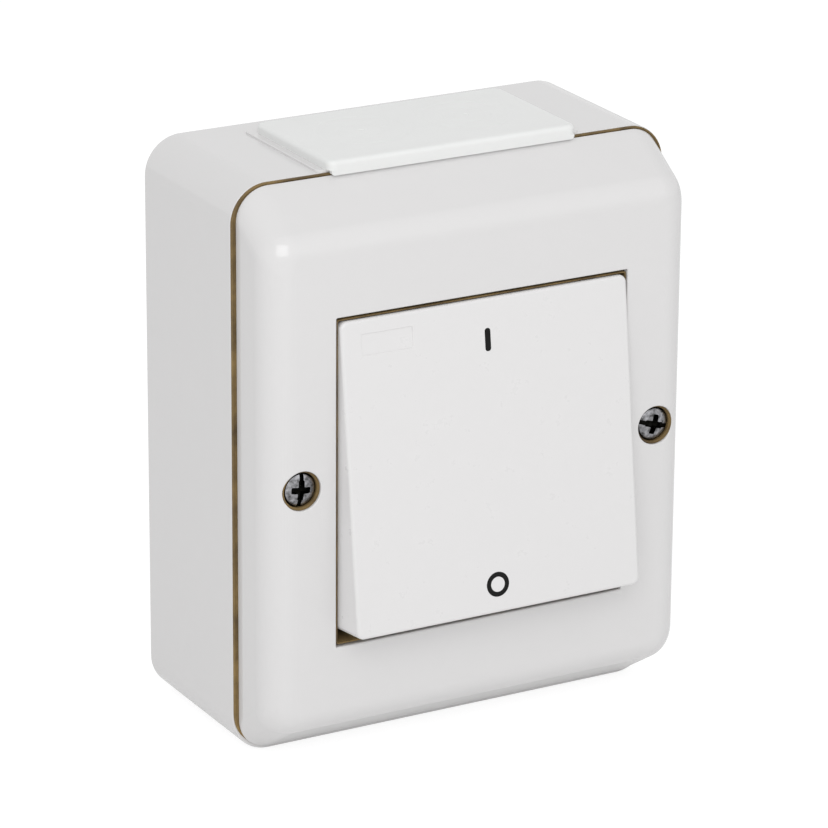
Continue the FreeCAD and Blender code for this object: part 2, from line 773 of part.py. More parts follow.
def make_rocker_cradle():
    half = "cradle_width / 2"
    inner_face = "rocker_reach - rocker_face"
    solids = [rod("cradle_hub", "x", "hub_radius", ("-" + half, half)),
              block("cradle_web", ("-%s" % half, half), ("0", inner_face),
                    ("-web_thick / 2", "web_thick / 2")),
              block("cradle_plate", ("-%s" % half, half), (inner_face + " - cradle_plate", inner_face),
                    ("-cradle_height / 2", "cradle_height / 2"))]
    hollows = [rod("axle_bore", "x", "axle_radius + axle_play",
                   ("-%s - past_face" % half, half + " + past_face"))]
    for side in ("", "-"):
        x = side + "pole_x"
        solids.append(rod("stem", "depth", "stem_radius", x, ("-stem_length", "0")))
        hollows.append(rod("stem_bore", "depth", "plunger_radius + plunger_play", x,
                           ("-stem_length - past_face", "-stem_root")))
    return tilted(cut("rocker_cradle", fused("cradle_whole", solids), hollows))


def spring_wire():
    """Wire wound upwards round Z, in short straight runs with mitred joints."""
    radius, height = number("coil_radius"), number("coil_height")
    runs = round(number("coil_count") * runs_per_turn)
    points = []
    for run in range(runs + 1):
        angle = 2 * math.pi * run / runs_per_turn
        points.append(FreeCAD.Vector(radius * math.cos(angle), radius * math.sin(angle), height * run / runs))
    section = Part.makeCircle(number("wire_radius"), points[0], points[1] - points[0])
    wire = doc.addObject("Part::Feature", "spring_wire")
    wire.Shape = Part.makePolygon(points).makePipeShell([Part.Wire([section])], True, False, mitred)
    return wire


def make_plungers():
    plungers, springs = [], []
    for side in ("", "-"):
        x = side + "pole_x"
        tip = doc.addObject("Part::Sphere", "plunger_ball")
        tip.setExpression("Radius", bound("plunger_radius"))
        place(tip, x, "plunger_radius - plunger_reach")
        barrel = rod("plunger_barrel", "depth", "plunger_radius", x,
                     ("plunger_radius - plunger_reach", "-coil_rear"))
        plungers.append(fused("plunger", [tip, barrel]))
        spring = group("spring", [spring_wire()])
        springs.append(place(spring, x, "wire_radius - coil_rear", "0", along_x, "90"))
    return [tilted(group("plungers", plungers)), tilted(group("plunger_springs", springs))]


# What the rocker turns on, and the seal round it

def ear_span(side):
    ends = ["%d * ear_inside" % side, "%d * ear_outside" % side]
    return ends[::side]


def make_rocker_axle():
    return rod("rocker_axle", "x", "axle_radius", ("-ear_outside", "ear_outside"), "axle_depth", "0")


def make_bearing_frame():
    body = new_body("frame_plate")
    outline = new_sketch(body, "frame_rear")
    rounded_rectangle(outline, "collar_width", "collar_height", "opening_round + collar_wall")
    pad(body, outline, "frame_thick")
    slots = new_sketch(body, "seal_rear")
    for side in ("", "-"):
        rounded_rectangle(slots, "2 * (stem_radius + moving_gap)",
                          "2 * (stem_radius + moving_gap + stem_swing)", "stem_radius", side + "pole_x")
    pocket(body, slots, "frame_thick")
    sinks = new_sketch(body, "seal_rear")
    holes = new_sketch(body, "seal_rear")
    for side, rise in four_ways:
        place_x, place_z = side + "frame_screw_x / 2", rise + "frame_screw_z / 2"
        circle(sinks, "frame_screw_head + slot_play", place_x, place_z)
        circle(holes, "frame_screw_shank + slot_play", place_x, place_z)
    pocket(body, sinks, "frame_screw_thick")
    pocket(body, holes, "frame_thick")

    solids, holes = [body], []
    for side in (1, -1):
        solids.append(block("ear", ear_span(side), ("seal_rear - frame_thick / 2", "axle_depth"),
                            ("-ear_round", "ear_round")))
        solids.append(rod("ear_end", "x", "ear_round", ear_span(side), "axle_depth", "0"))
        holes.append(rod("ear_hole", "x", "axle_radius", ear_span(side), "axle_depth", "0"))
    return cut("bearing_frame", fused("frame_whole", solids), holes)


def make_frame_screws():
    screws = []
    for side, rise in four_ways:
        screws.append(plain_screw("frame_screw", "frame_screw_head", "frame_screw_thick", "frame_screw_shank",
                                  "frame_screw_length", side + "frame_screw_x / 2",
                                  "seal_rear - frame_screw_thick", rise + "frame_screw_z / 2"))
    return group("frame_screws", screws)


def make_rocker_seal():
    """Rubber sheet with a raised lip round each stem and a close slot for each ear."""
    body = new_body("rocker_seal")
    outline = new_sketch(body, "seal_rear")
    rounded_rectangle(outline, "collar_width", "collar_height", "opening_round + collar_wall")
    pad(body, outline, "seal_thick")
    hole_width = "2 * (stem_radius + moving_gap)"
    hole_height = "2 * (stem_radius + moving_gap + (axle_rise + seal_thick) * sin(rocker_tilt))"
    for side in ("", "-"):
        lip = new_sketch(body, "seal_rear")
        rounded_rectangle(lip, hole_width + " + 2 * lip_wall", hole_height + " + 2 * lip_wall",
                          "stem_radius + lip_wall", side + "pole_x")
        pad(body, lip, "seal_thick + lip_height")
    holes = new_sketch(body, "seal_front + lip_height")
    for side in ("", "-"):
        rounded_rectangle(holes, hole_width, hole_height, "stem_radius", side + "pole_x")
    pocket(body, holes, "seal_thick + lip_height")
    slots = new_sketch(body, "seal_front")
    for side in (1, -1):
        ends = ["%d * (ear_inside - slot_play)" % side, "%d * (ear_outside + slot_play)" % side]
        rectangle(slots, ends[::side], ("-ear_round - slot_play", "ear_round + slot_play"))
    pocket(body, slots, "seal_thick")
    return body


# Switch base and contacts

def make_switch_base():
    base_front = "frame_rear"
    half_height = "base_height / 2"
    solids = [block("base_block", ("-base_width / 2", "base_width / 2"), ("base_seat", base_front),
                    ("-" + half_height, half_height))]
    for name, ends in (("platform_top", (half_height, half_height + " + platform_length")),
                       ("platform_bottom", ("-%s - platform_length" % half_height, "-" + half_height))):
        solids.append(block(name, ("-platform_width / 2", "platform_width / 2"),
                            ("base_seat", "platform_front"), ends))
    hollows = []
    bay = "clamp_width / 2 + clamp_play"
    for side in ("", "-"):
        x = side + "pole_x"
        hollows.append(block("chamber", (x + " - chamber_width / 2", x + " + chamber_width / 2"),
                             ("strip_rear", base_front),
                             ("end_wall - " + half_height, half_height + " - end_wall")))
        strip_half = "(strip_width / 2 + slot_play)"
        hollows.append(block("strip_slot", (x + " - " + strip_half, x + " + " + strip_half),
                             ("strip_rear", "strip_front + slot_play"),
                             ("-%s - bay_wall" % half_height, half_height + " + bay_wall")))
        bay_end = " + platform_length + past_face"
        for name, ends in (("bay_top", (half_height + " + bay_wall", half_height + bay_end)),
                           ("bay_bottom", ("-(%s%s)" % (half_height, bay_end),
                                           "-%s - bay_wall" % half_height))):
            hollows.append(block(name, ("%s - (%s)" % (x, bay), "%s + %s" % (x, bay)),
                                 ("clamp_rear", "platform_front"), ends))
    for rise in ("", "-"):
        hollows.append(rod("fixing_hole", "depth", "pad_hole", "0", ("base_seat", "platform_front"),
                           rise + "base_screw_z"))
    for side, rise in four_ways:
        hollows.append(rod("frame_hole", "depth", "frame_screw_shank + thread_play",
                           side + "frame_screw_x / 2", ("frame_rear - frame_screw_length", "frame_rear"),
                           rise + "frame_screw_z / 2"))
    return cut("switch_base", fused("base_whole", solids), hollows)


def make_base_screws():
    length = "platform_front - base_screw_tip"
    return group("base_screws", [
        plain_screw("base_screw", "base_screw_head", "base_screw_thick", "base_screw_shank", length,
                    "0", "platform_front", rise + "base_screw_z") for rise in ("", "-")])


def make_strips():
    """Line strip with its knife edge and load strip with its fixed contact, for each pole."""
    line_strips, load_strips, contacts = [], [], []
    for side in ("", "-"):
        x = side + "pole_x"
        across = (x + " - strip_width / 2", x + " + strip_width / 2")
        knife_centre = "knife_depth - knife_gap - knife_radius"
        line_strips.append(fused("line_strip", [
            block("line_flat", across, ("strip_rear", "strip_front"), ("-2 * knife_radius", "strip_end")),
            block("knife_wall", across, ("strip_rear", knife_centre), ("-knife_radius", "knife_radius")),
            rod("knife_edge", "x", "knife_radius", across, knife_centre, "0")]))

        rivet = rod("rivet_hole", "depth", "rivet_radius", x, ("strip_rear", "strip_front"), "-contact_arm")
        flat = block("load_flat", across, ("strip_rear", "strip_front"),
                     ("-strip_end", "-contact_arm + 2 * contact_radius"))
        load_strips.append(cut("load_strip", flat, [rivet]))
        contacts.append(fused("fixed_contact", [
            rod("fixed_disc", "depth", "contact_radius", x, ("strip_front", "fixed_contact_front"),
                "-contact_arm"),
            rod("fixed_rivet", "depth", "rivet_radius", x, ("strip_rear", "strip_front"), "-contact_arm")]))
    return [group("line_strips", line_strips), group("load_strips", load_strips),
            group("fixed_contacts", contacts)]


def make_contact_bridge(side_name, x):
    """See-saw bar that rocks on the knife edge, at rest closed on its lower contact."""
    reach = "contact_arm + contact_radius"
    bar = block("bar_" + side_name, ("-bridge_width / 2", "bridge_width / 2"), ("0", "bridge_thick"),
                ("-" + reach.replace("+", "-"), reach))
    solids = [bar]
    for low, high in (("lug_offset", "lug_offset + lug_thick"), ("-lug_offset - lug_thick", "-lug_offset")):
        solids.append(block("lug", ("-bridge_width / 2", "bridge_width / 2"), ("-lug_thick", "0"), (low, high)))
    hole = rod("bar_hole", "depth", "rivet_radius", "0", ("0", "bridge_thick"), "-contact_arm")
    bridge = cut("contact_bridge_" + side_name, fused("bar_whole", solids), [hole])
    contact = fused("moving_contact_" + side_name, [
        rod("moving_disc", "depth", "contact_radius", "0", ("-contact_thick", "0"), "-contact_arm"),
        rod("moving_rivet", "depth", "rivet_radius", "0", ("0", "bridge_thick"), "-contact_arm")])
    return [place(item, x, "knife_depth", "0", along_x, "rocker_tilt") for item in (bridge, contact)]


# Terminals

def clamp(name, x, rear, z, size, depth):
    """Brass cage with a wire way along Z and a threaded hole in its front wall."""
    half_width, half_length = "(%s) / 2" % size[0], "(%s) / 2" % size[1]
    top = "%s + %s" % (rear, depth)
    cage = block(name + "_cage", ("%s - %s" % (x, half_width), "%s + %s" % (x, half_width)), (rear, top),
                 ("%s - %s" % (z, half_length), "%s + %s" % (z, half_length)))
    way = block(name + "_way",
                ("%s - %s + clamp_wall" % (x, half_width), "%s + %s - clamp_wall" % (x, half_width)),
                ("%s + clamp_wall" % rear, "%s - clamp_front" % top),
                ("%s - %s - past_face" % (z, half_length), "%s + %s + past_face" % (z, half_length)))
    hole = rod(name + "_thread", "depth", "terminal_shank + thread_play", x, ("%s - clamp_front" % top, top), z)
    return cut(name, cage, [way, hole])


def terminal_screw(name, x, seat, z):
    return plain_screw(name, "terminal_head", "terminal_head_thick", "terminal_shank",
                       "terminal_shank_length", x, seat, z)


def make_terminals():
    clamps, screws = [], []
    for side, rise in four_ways:
        x, z = side + "pole_x", rise + "clamp_centre"
        clamps.append(clamp("terminal_clamp", x, "clamp_rear", z, ("clamp_width", "clamp_length"),
                            "clamp_depth"))
        screws.append(terminal_screw("terminal_screw", x, "clamp_front_face", z))
    earth = clamp("earth_terminal", "earth_x", "earth_seat", "earth_z", ("earth_block", "earth_block"),
                  "earth_block")
    earth_screw = terminal_screw("earth_screw", "earth_x", "earth_seat + earth_block", "earth_z")
    return [group("terminal_clamps", clamps), group("terminal_screws", screws), earth, earth_screw]


# Build, check and write

sub_parts = [make_rear_box(), make_cable_entry_plate(), make_box_gasket(), make_front_cover()]
sub_parts += make_cover_screws()
sub_parts += [make_rocker()] + make_rocker_marks() + [make_rocker_cradle()] + make_plungers()
sub_parts += [make_rocker_axle(), make_bearing_frame(), make_frame_screws(), make_rocker_seal()]
sub_parts += [make_switch_base(), make_base_screws()] + make_strips()
sub_parts += make_contact_bridge("left", "-pole_x") + make_contact_bridge("right", "pole_x")
sub_parts += make_terminals()
doc.recompute()

for item in doc.Objects:
    if "Invalid" in item.State or "Error" in item.State:
        raise RuntimeError("%s did not build: %s" % (item.Label, item.State))
for part in sub_parts:
    part.Label = part.Name
    if part.Shape.isNull() or not part.Shape.isValid() or not part.Shape.Solids:
        raise RuntimeError("%s has no sound shape" % part.Label)

os.makedirs(parts_folder, exist_ok=True)
for part in sub_parts:
    part.Shape.exportStep(os.path.join(parts_folder, part.Label + ".step"))
    print("%-22s %d solids, %.2f mm3" % (part.Label, len(part.Shape.Solids), part.Shape.Volume))
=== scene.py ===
import json
from math import atan, cos, pi, radians, sin, sqrt, tan

import bmesh
import bpy
from mathutils import Euler, Matrix, Vector

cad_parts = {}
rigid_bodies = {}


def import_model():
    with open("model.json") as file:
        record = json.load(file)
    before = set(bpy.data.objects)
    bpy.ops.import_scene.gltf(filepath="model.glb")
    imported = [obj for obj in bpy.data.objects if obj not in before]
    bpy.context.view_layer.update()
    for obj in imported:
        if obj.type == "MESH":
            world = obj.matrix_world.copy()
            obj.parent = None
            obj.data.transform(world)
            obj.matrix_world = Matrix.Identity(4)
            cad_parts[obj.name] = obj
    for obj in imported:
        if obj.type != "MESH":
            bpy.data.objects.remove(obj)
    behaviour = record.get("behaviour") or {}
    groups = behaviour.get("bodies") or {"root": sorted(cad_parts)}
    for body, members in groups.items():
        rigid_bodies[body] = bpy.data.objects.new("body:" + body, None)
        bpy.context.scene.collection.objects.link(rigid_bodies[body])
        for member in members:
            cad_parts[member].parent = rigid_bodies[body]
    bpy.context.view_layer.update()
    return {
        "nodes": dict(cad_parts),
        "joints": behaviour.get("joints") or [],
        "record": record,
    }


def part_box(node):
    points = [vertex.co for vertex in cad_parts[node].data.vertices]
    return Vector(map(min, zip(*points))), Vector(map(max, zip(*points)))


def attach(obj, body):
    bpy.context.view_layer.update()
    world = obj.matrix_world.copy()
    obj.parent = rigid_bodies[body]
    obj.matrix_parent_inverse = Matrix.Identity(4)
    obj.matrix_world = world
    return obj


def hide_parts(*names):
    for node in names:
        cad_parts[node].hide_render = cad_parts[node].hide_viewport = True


# Outdoor rocker switch. X is right, Y goes into the wall, Z is up.
# Shapes are worked out in millimetres, and a depth is a distance from the wall towards the front.

for leftover in list(bpy.data.objects):
    bpy.data.objects.remove(leftover)
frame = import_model()
mm = 0.001
print("frame loaded:", len(frame["nodes"]), "nodes")


def cadBox(name):
    # lowest and highest corner of a node, in millimetres
    low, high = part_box(name)
    return low / mm, high / mm


boxLow, boxHigh = cadBox("rear_box")
coverLow, coverHigh = cadBox("front_cover")
gasketLow, gasketHigh = cadBox("box_gasket")
plateLow, plateHigh = cadBox("cable_entry_plate")
baseRear = -cadBox("switch_base")[1].y
screwTip = -cadBox("cover_screws")[1].y
switchWidth = boxHigh.x - boxLow.x
switchHeight = -2 * boxLow.z
coverWidth = coverHigh.x - coverLow.x
coverHeight = coverHigh.z - coverLow.z
boxDepth = -boxLow.y
coverRear = -gasketLow.y
coverFace = -coverLow.y
sealFront = -coverHigh.y
tiltJoint = [joint for joint in frame["joints"] if joint["name"] == "rocker_tilt"][0]
axleDepth = -tiltJoint["pos_m"][1] / mm
restTilt = tiltJoint["range_deg"][1] / 2
screwX = 33.95  # how far the cover screws and their posts stand from the middle
cutterReach = 1.0  # how far a cutter stands out of what it cuts


# Camera: it stands where the photographer stood, to the left and above

# angles in degrees, lengths in millimetres, and the origin's place as the camera sees it
cameraView = {"azimuth": -29.193, "elevation": 19.791, "roll": 0.403, "focalPixels": 4760.4,
              "imageWidth": 828, "originRight": -9.615, "originUp": 5.647, "distance": 830.196,
              "sensorWidth": 36, "clipStart": 10}


def makeCamera():
    turn = Euler((radians(90 - cameraView["elevation"]), 0, radians(cameraView["azimuth"]))).to_matrix()
    turn = turn @ Matrix.Rotation(radians(cameraView["roll"]), 3, "Z")
    originSeen = Vector((cameraView["originRight"], cameraView["originUp"], -cameraView["distance"])) * mm
    data = bpy.data.cameras.new("photoCamera")
    data.sensor_width = cameraView["sensorWidth"]
    data.lens = cameraView["focalPixels"] * data.sensor_width / cameraView["imageWidth"]
    data.clip_start = cameraView["clipStart"] * mm
    camera = bpy.data.objects.new("photoCamera", data)
    camera.matrix_world = Matrix.Translation(turn @ -originSeen) @ turn.to_4x4()
    bpy.context.scene.collection.objects.link(camera)
    bpy.context.scene.camera = camera


makeCamera()
bpy.context.scene.view_settings.view_transform = "Standard"
print("camera placed")


# Nodes and colours

def addNode(tree, kind, inputs=None, **settings):
    made = tree.nodes.new("ShaderNode" + kind)
    for name, value in settings.items():
        setattr(made, name, value)
    for socket, value in (inputs or {}).items():
        if isinstance(value, bpy.types.NodeSocket):
            tree.links.new(value, made.inputs[socket])
        else:
            made.inputs[socket].default_value = value
    return made


def linear(hexColour):
    # sRGB hex to the linear colour that a shader takes
    parts = [int(hexColour[place:place + 2], 16) / 255 for place in (1, 3, 5)]
    lit = [part / 12.92 if part <= 0.04045 else ((part + 0.055) / 1.055) ** 2.4 for part in parts]
    return (*lit, 1)


def startMaterial(name):
    material = bpy.data.materials.new(name)
    material.use_nodes = True
    material.node_tree.nodes.clear()
    return material, material.node_tree


def perMillimetre(size):
    # noise and Voronoi scale for features of about this size, on coordinates in metres
    return 1 / (size * mm)


# World, floor and lamps

# lamps and floor in metres, the floor's drop in millimetres
# a share is how much of the floor's own white a kind of ray sees
studio = {"ambient": 0.65, "whiteSeen": 1.0, "lampDistance": 1.0,
          "keyFrom": (-0.42, -0.73, 0.54), "keySize": 0.6, "keyWatts": 2.8,
          "fillFrom": (0.05, -0.66, 0.75), "fillSize": 1.5, "fillWatts": 1.7,
          "floorRadius": 3.0, "floorDrop": 0.2, "floorWhite": "#F2F2F2", "floorGlow": 1.2,
          "floorShare": 0.72, "bounceShare": 0.09, "glossShare": 0.22}


def makeWorld():
    world = bpy.data.worlds.new("studio")
    bpy.context.scene.world = world
    world.use_nodes = True
    tree = world.node_tree
    tree.nodes.clear()
    path = addNode(tree, "LightPath")
    seen = addNode(tree, "Math", {0: path.outputs["Is Camera Ray"], 1: path.outputs["Is Glossy Ray"]},
                   operation="MAXIMUM")
    seen = addNode(tree, "Math", {0: seen.outputs[0], 1: path.outputs["Is Transmission Ray"]},
                   operation="MAXIMUM")
    ambient = addNode(tree, "Background", {"Color": (1, 1, 1, 1), "Strength": studio["ambient"]})
    white = addNode(tree, "Background", {"Color": (1, 1, 1, 1), "Strength": studio["whiteSeen"]})
    mix = addNode(tree, "MixShader", {0: seen.outputs[0], 1: ambient.outputs[0], 2: white.outputs[0]})
    addNode(tree, "OutputWorld", {"Surface": mix.outputs[0]})


def makeFloor():
    # white board: seen by the camera it is mostly its own white, and keeps a soft shadow
    bm = bmesh.new()
    bmesh.ops.create_circle(bm, cap_ends=True, segments=96, radius=studio["floorRadius"])
    bmesh.ops.translate(bm, vec=(0, 0, (boxLow.z - studio["floorDrop"]) * mm), verts=bm.verts[:])
    mesh = bpy.data.meshes.new("floor")
    bm.to_mesh(mesh)
    bm.free()
    floor = bpy.data.objects.new("floor", mesh)
    bpy.context.scene.collection.objects.link(floor)
    material, tree = startMaterial("paperboardWhite")
    path = addNode(tree, "LightPath")
    board = addNode(tree, "BsdfDiffuse", {"Color": linear(studio["floorWhite"])})
    glow = addNode(tree, "Emission", {"Color": (1, 1, 1, 1), "Strength": studio["floorGlow"]})
    share = None
    for ray, part in (("Is Camera Ray", "floorShare"), ("Is Glossy Ray", "glossShare"),
                      ("Is Transmission Ray", "glossShare"), ("Is Diffuse Ray", "bounceShare")):
        weighed = addNode(tree, "Math", {0: path.outputs[ray], 1: studio[part]}, operation="MULTIPLY")
        if share:
            weighed = addNode(tree, "Math", {0: share.outputs[0], 1: weighed.outputs[0]},
                              operation="MAXIMUM")
        share = weighed
    mix = addNode(tree, "MixShader", {0: share.outputs[0], 1: board.outputs[0], 2: glow.outputs[0]})
    addNode(tree, "OutputMaterial", {"Surface": mix.outputs[0]})
    mesh.materials.append(material)


def makeSoftbox(name, comesFrom, size, watts):
    # square softbox that points at the switch
    data = bpy.data.lights.new(name, "AREA")
    data.shape = "SQUARE"
    data.size = size
    data.energy = watts
    lamp = bpy.data.objects.new(name, data)
    towards = Vector(comesFrom).normalized()
    lamp.location = towards * studio["lampDistance"]
    lamp.rotation_euler = towards.to_track_quat("Z", "Y").to_euler()
    bpy.context.scene.collection.objects.link(lamp)


makeWorld()
makeFloor()
makeSoftbox("keySoftbox", studio["keyFrom"], studio["keySize"], studio["keyWatts"])
makeSoftbox("fillSoftbox", studio["fillFrom"], studio["fillSize"], studio["fillWatts"])
print("studio set up")


# Materials

noiseMiddle = {"From Min": 0.3, "From Max": 0.7}  # the part of a noise pattern that goes from 0 to 1
reliefHeight = {"ripple": 0.05, "grain": 0.02, "rubber": 0.04, "metal": 0.02}  # in millimetres
dullRoughness = 0.15  # how much rougher a metal's dull patches are


def mouldedPlastic(name, finish):
    # moulded plastic: even colour with a faint cloudiness, and a skin that ripples slightly as it shrinks
    material, tree = startMaterial(name)
    place = addNode(tree, "TexCoord").outputs["Object"]
    cloud = addNode(tree, "TexNoise", {"Vector": place, "Scale": perMillimetre(finish["cloudSize"]),
                                       "Detail": 7.0, "Roughness": 0.72})
    skin = addNode(tree, "TexNoise", {"Vector": place, "Scale": perMillimetre(finish["rippleSize"]),
                                      "Detail": 2.0})
    grain = addNode(tree, "TexNoise", {"Vector": place, "Scale": perMillimetre(finish["grainSize"]),
                                       "Detail": 1.0})
    patches = addNode(tree, "MapRange", {"Value": cloud.outputs[0], **noiseMiddle})
    shade = addNode(tree, "Mix", {"Factor": patches.outputs[0], "A": linear(finish["colour"]),
                                  "B": linear(finish["shade"])}, data_type="RGBA")
    rough = addNode(tree, "MapRange", {"Value": patches.outputs[0],
                                       "To Min": finish["roughness"] - finish["uneven"],
                                       "To Max": finish["roughness"] + finish["uneven"]})
    relief = addNode(tree, "Bump", {"Height": skin.outputs[0], "Strength": finish["ripple"],
                                    "Distance": reliefHeight["ripple"] * mm})
    relief = addNode(tree, "Bump", {"Height": grain.outputs[0], "Strength": finish["grain"],
                                    "Distance": reliefHeight["grain"] * mm, "Normal": relief.outputs[0]})
    shader = addNode(tree, "BsdfPrincipled", {"Base Color": shade.outputs["Result"],
                                              "Roughness": rough.outputs[0], "IOR": finish["ior"],
                                              "Normal": relief.outputs[0]})
    addNode(tree, "OutputMaterial", {"Surface": shader.outputs[0]})
    return material


def mouldedRubber(name, finish):
    # moulded rubber: matt and grainy, paler where dust sits in the grain
    material, tree = startMaterial(name)
    place = addNode(tree, "TexCoord").outputs["Object"]
    dust = addNode(tree, "TexNoise", {"Vector": place, "Scale": perMillimetre(finish["dustSize"]),
                                      "Detail": 4.0, "Roughness": 0.65})
    grain = addNode(tree, "TexVoronoi", {"Vector": place, "Scale": perMillimetre(finish["grainSize"])})
    dusty = addNode(tree, "MapRange", {"Value": dust.outputs[0], **noiseMiddle})
    shade = addNode(tree, "Mix", {"Factor": dusty.outputs[0], "A": linear(finish["colour"]),
                                  "B": linear(finish["dust"])}, data_type="RGBA")
    rough = addNode(tree, "MapRange", {"Value": dusty.outputs[0], "To Min": finish["roughness"],
                                       "To Max": finish["dustRoughness"]})
    relief = addNode(tree, "Bump", {"Height": grain.outputs["Distance"], "Strength": finish["grain"],
                                    "Distance": reliefHeight["rubber"] * mm})
    shader = addNode(tree, "BsdfPrincipled", {"Base Color": shade.outputs["Result"],
                                              "Roughness": rough.outputs[0], "IOR": finish["ior"],
                                              "Normal": relief.outputs[0]})
    addNode(tree, "OutputMaterial", {"Surface": shader.outputs[0]})
    return material


def workedMetal(name, finish):
    # plated, stamped or turned metal: fine drawn lines one way, and patches of duller plating
    material, tree = startMaterial(name)
    place = addNode(tree, "TexCoord").outputs["Object"]
    drawn = addNode(tree, "Mapping", {"Vector": place, "Scale": finish["drawn"]})
    lines = addNode(tree, "TexNoise", {"Vector": drawn.outputs[0], "Detail": 2.0,
                                       "Scale": perMillimetre(finish["lineSize"])})
    plating = addNode(tree, "TexNoise", {"Vector": place, "Detail": 3.0,
                                         "Scale": perMillimetre(finish["patchSize"])})
    patches = addNode(tree, "MapRange", {"Value": plating.outputs[0], **noiseMiddle})
    shade = addNode(tree, "Mix", {"Factor": patches.outputs[0], "A": linear(finish["colour"]),
                                  "B": linear(finish["dull"])}, data_type="RGBA")
    rough = addNode(tree, "MapRange", {"Value": patches.outputs[0], "To Min": finish["roughness"],
                                       "To Max": finish["roughness"] + dullRoughness})
    relief = addNode(tree, "Bump", {"Height": lines.outputs[0], "Strength": finish["relief"],
                                    "Distance": reliefHeight["metal"] * mm})
    shader = addNode(tree, "BsdfPrincipled", {"Base Color": shade.outputs["Result"], "Metallic": 1.0,
                                              "Roughness": rough.outputs[0], "Normal": relief.outputs[0]})
    addNode(tree, "OutputMaterial", {"Surface": shader.outputs[0]})
    return material


# glossy moulded ABS: a near mirror skin over a bright white, so round edges show the softbox
absGloss = mouldedPlastic("absGlossMoulded", {
    "colour": "#DFDEDE", "shade": "#DEDDDD", "roughness": 0.11, "uneven": 0.01, "ior": 1.5,
    "cloudSize": 5, "rippleSize": 2.2, "ripple": 0.05, "grainSize": 0.35, "grain": 0.03})
# satin moulded ABS: whiter and a little duller, as keys are that hide finger marks
absSatin = mouldedPlastic("absSatinMoulded", {
    "colour": "#E4E3E3", "shade": "#E3E2E2", "roughness": 0.28, "uneven": 0.01, "ior": 1.5,
    "cloudSize": 3, "rippleSize": 1.8, "ripple": 0.03, "grainSize": 0.3, "grain": 0.02})
# soft moulded thermoplastic elastomer: satin and cloudy, it can be pierced by a cable
tpeSoft = mouldedPlastic("tpeSoftMoulded", {
    "colour": "#ECEDEC", "shade": "#EAEBEA", "roughness": 0.42, "uneven": 0.03, "ior": 1.48,
    "cloudSize": 9, "rippleSize": 1.2, "ripple": 0.12, "grainSize": 0.25, "grain": 0.1})
# black ABS moulded into the key: crisp marks, dull against the white
absBlack = mouldedPlastic("absBlackMoulded", {
    "colour": "#060706", "shade": "#0B0B09", "roughness": 0.6, "uneven": 0.05, "ior": 1.3,
    "cloudSize": 2, "rippleSize": 0.8, "ripple": 0.08, "grainSize": 0.2, "grain": 0.1})
# grey moulded polyamide of the switch insert: dull, with a fine eroded texture
polyamideGrey = mouldedPlastic("polyamideMoulded", {
    "colour": "#C4C3C0", "shade": "#BAB9B6", "roughness": 0.5, "uneven": 0.06, "ior": 1.53,
    "cloudSize": 6, "rippleSize": 0.9, "ripple": 0.15, "grainSize": 0.2, "grain": 0.3})
# brown EPDM rubber: dark and matt, with paler dust
epdmRubber = mouldedRubber("epdmMoulded", {
    "colour": "#4A3A20", "dust": "#8E764A", "roughness": 0.62, "dustRoughness": 0.85, "ior": 1.5,
    "dustSize": 7, "grainSize": 0.3, "grain": 0.4})
# dark zinc-plated steel, turned: grey with bright worn patches
steelDark = workedMetal("zincSteelTurned", {
    "colour": "#B4B4B8", "dull": "#4C4C4C", "roughness": 0.26, "relief": 0.35,
    "lineSize": 0.25, "patchSize": 0.7, "drawn": (1, 1, 1)})
# the same steel, darkened as painted shade for the recess and round the head's flank
steelPaintedShade = workedMetal("zincSteelPaintedShade", {
    "colour": "#1A1A18", "dull": "#0C0C0A", "roughness": 0.45, "relief": 0.2,
    "lineSize": 0.25, "patchSize": 0.6, "drawn": (1, 1, 1)})
# bright zinc-plated steel of the inner screws, springs and axle, also used as painted highlight on the
# cover screws' recess edges
steelBright = workedMetal("zincSteelDrawn", {
    "colour": "#C9CACC", "dull": "#A9AAAD", "roughness": 0.22, "relief": 0.15,
    "lineSize": 0.3, "patchSize": 1.5, "drawn": (0.15, 1, 1)})
# stamped brass strip: warm, with fine rolling lines along its length
brassStamped = workedMetal("brassStamped", {
    "colour": "#D9B36A", "dull": "#B98F4C", "roughness": 0.25, "relief": 0.2,
    "lineSize": 0.3, "patchSize": 2.0, "drawn": (1, 1, 0.12)})
# pressed silver alloy contact: pale, slightly tarnished
silverPressed = workedMetal("silverPressed", {
    "colour": "#DAD8D2", "dull": "#B8B3A8", "roughness": 0.3, "relief": 0.15,
    "lineSize": 0.25, "patchSize": 0.8, "drawn": (1, 1, 1)})
slotMaterials = {"housing": absGloss, "rocker": absSatin, "entry_plate": tpeSoft,
                 "seal_rubber": epdmRubber, "dark_steel": steelDark, "mark_black": absBlack,
                 "insert_plastic": polyamideGrey, "steel": steelBright, "brass": brassStamped,
                 "contact_silver": silverPressed}
for part in frame["record"]["subparts"]:
    cadMesh = frame["nodes"][part["node"]].data
    cadMesh.materials.clear()
    cadMesh.materials.append(slotMaterials[part["material_slot"]])
print("materials made")


# Loops: closed rows of points that are extruded and moved, ring by ring

def newShape():
    bm = bmesh.new()
    # where in a loop a point is: its turn round the corner or circle, and its corner's two sides
    bm.verts.layers.float_vector.new("mark")
    return bm


def edgesAmong(bm, verts):
    chosen = set(verts)
    return [edge for edge in bm.edges if edge.verts[0] in chosen and edge.verts[1] in chosen]


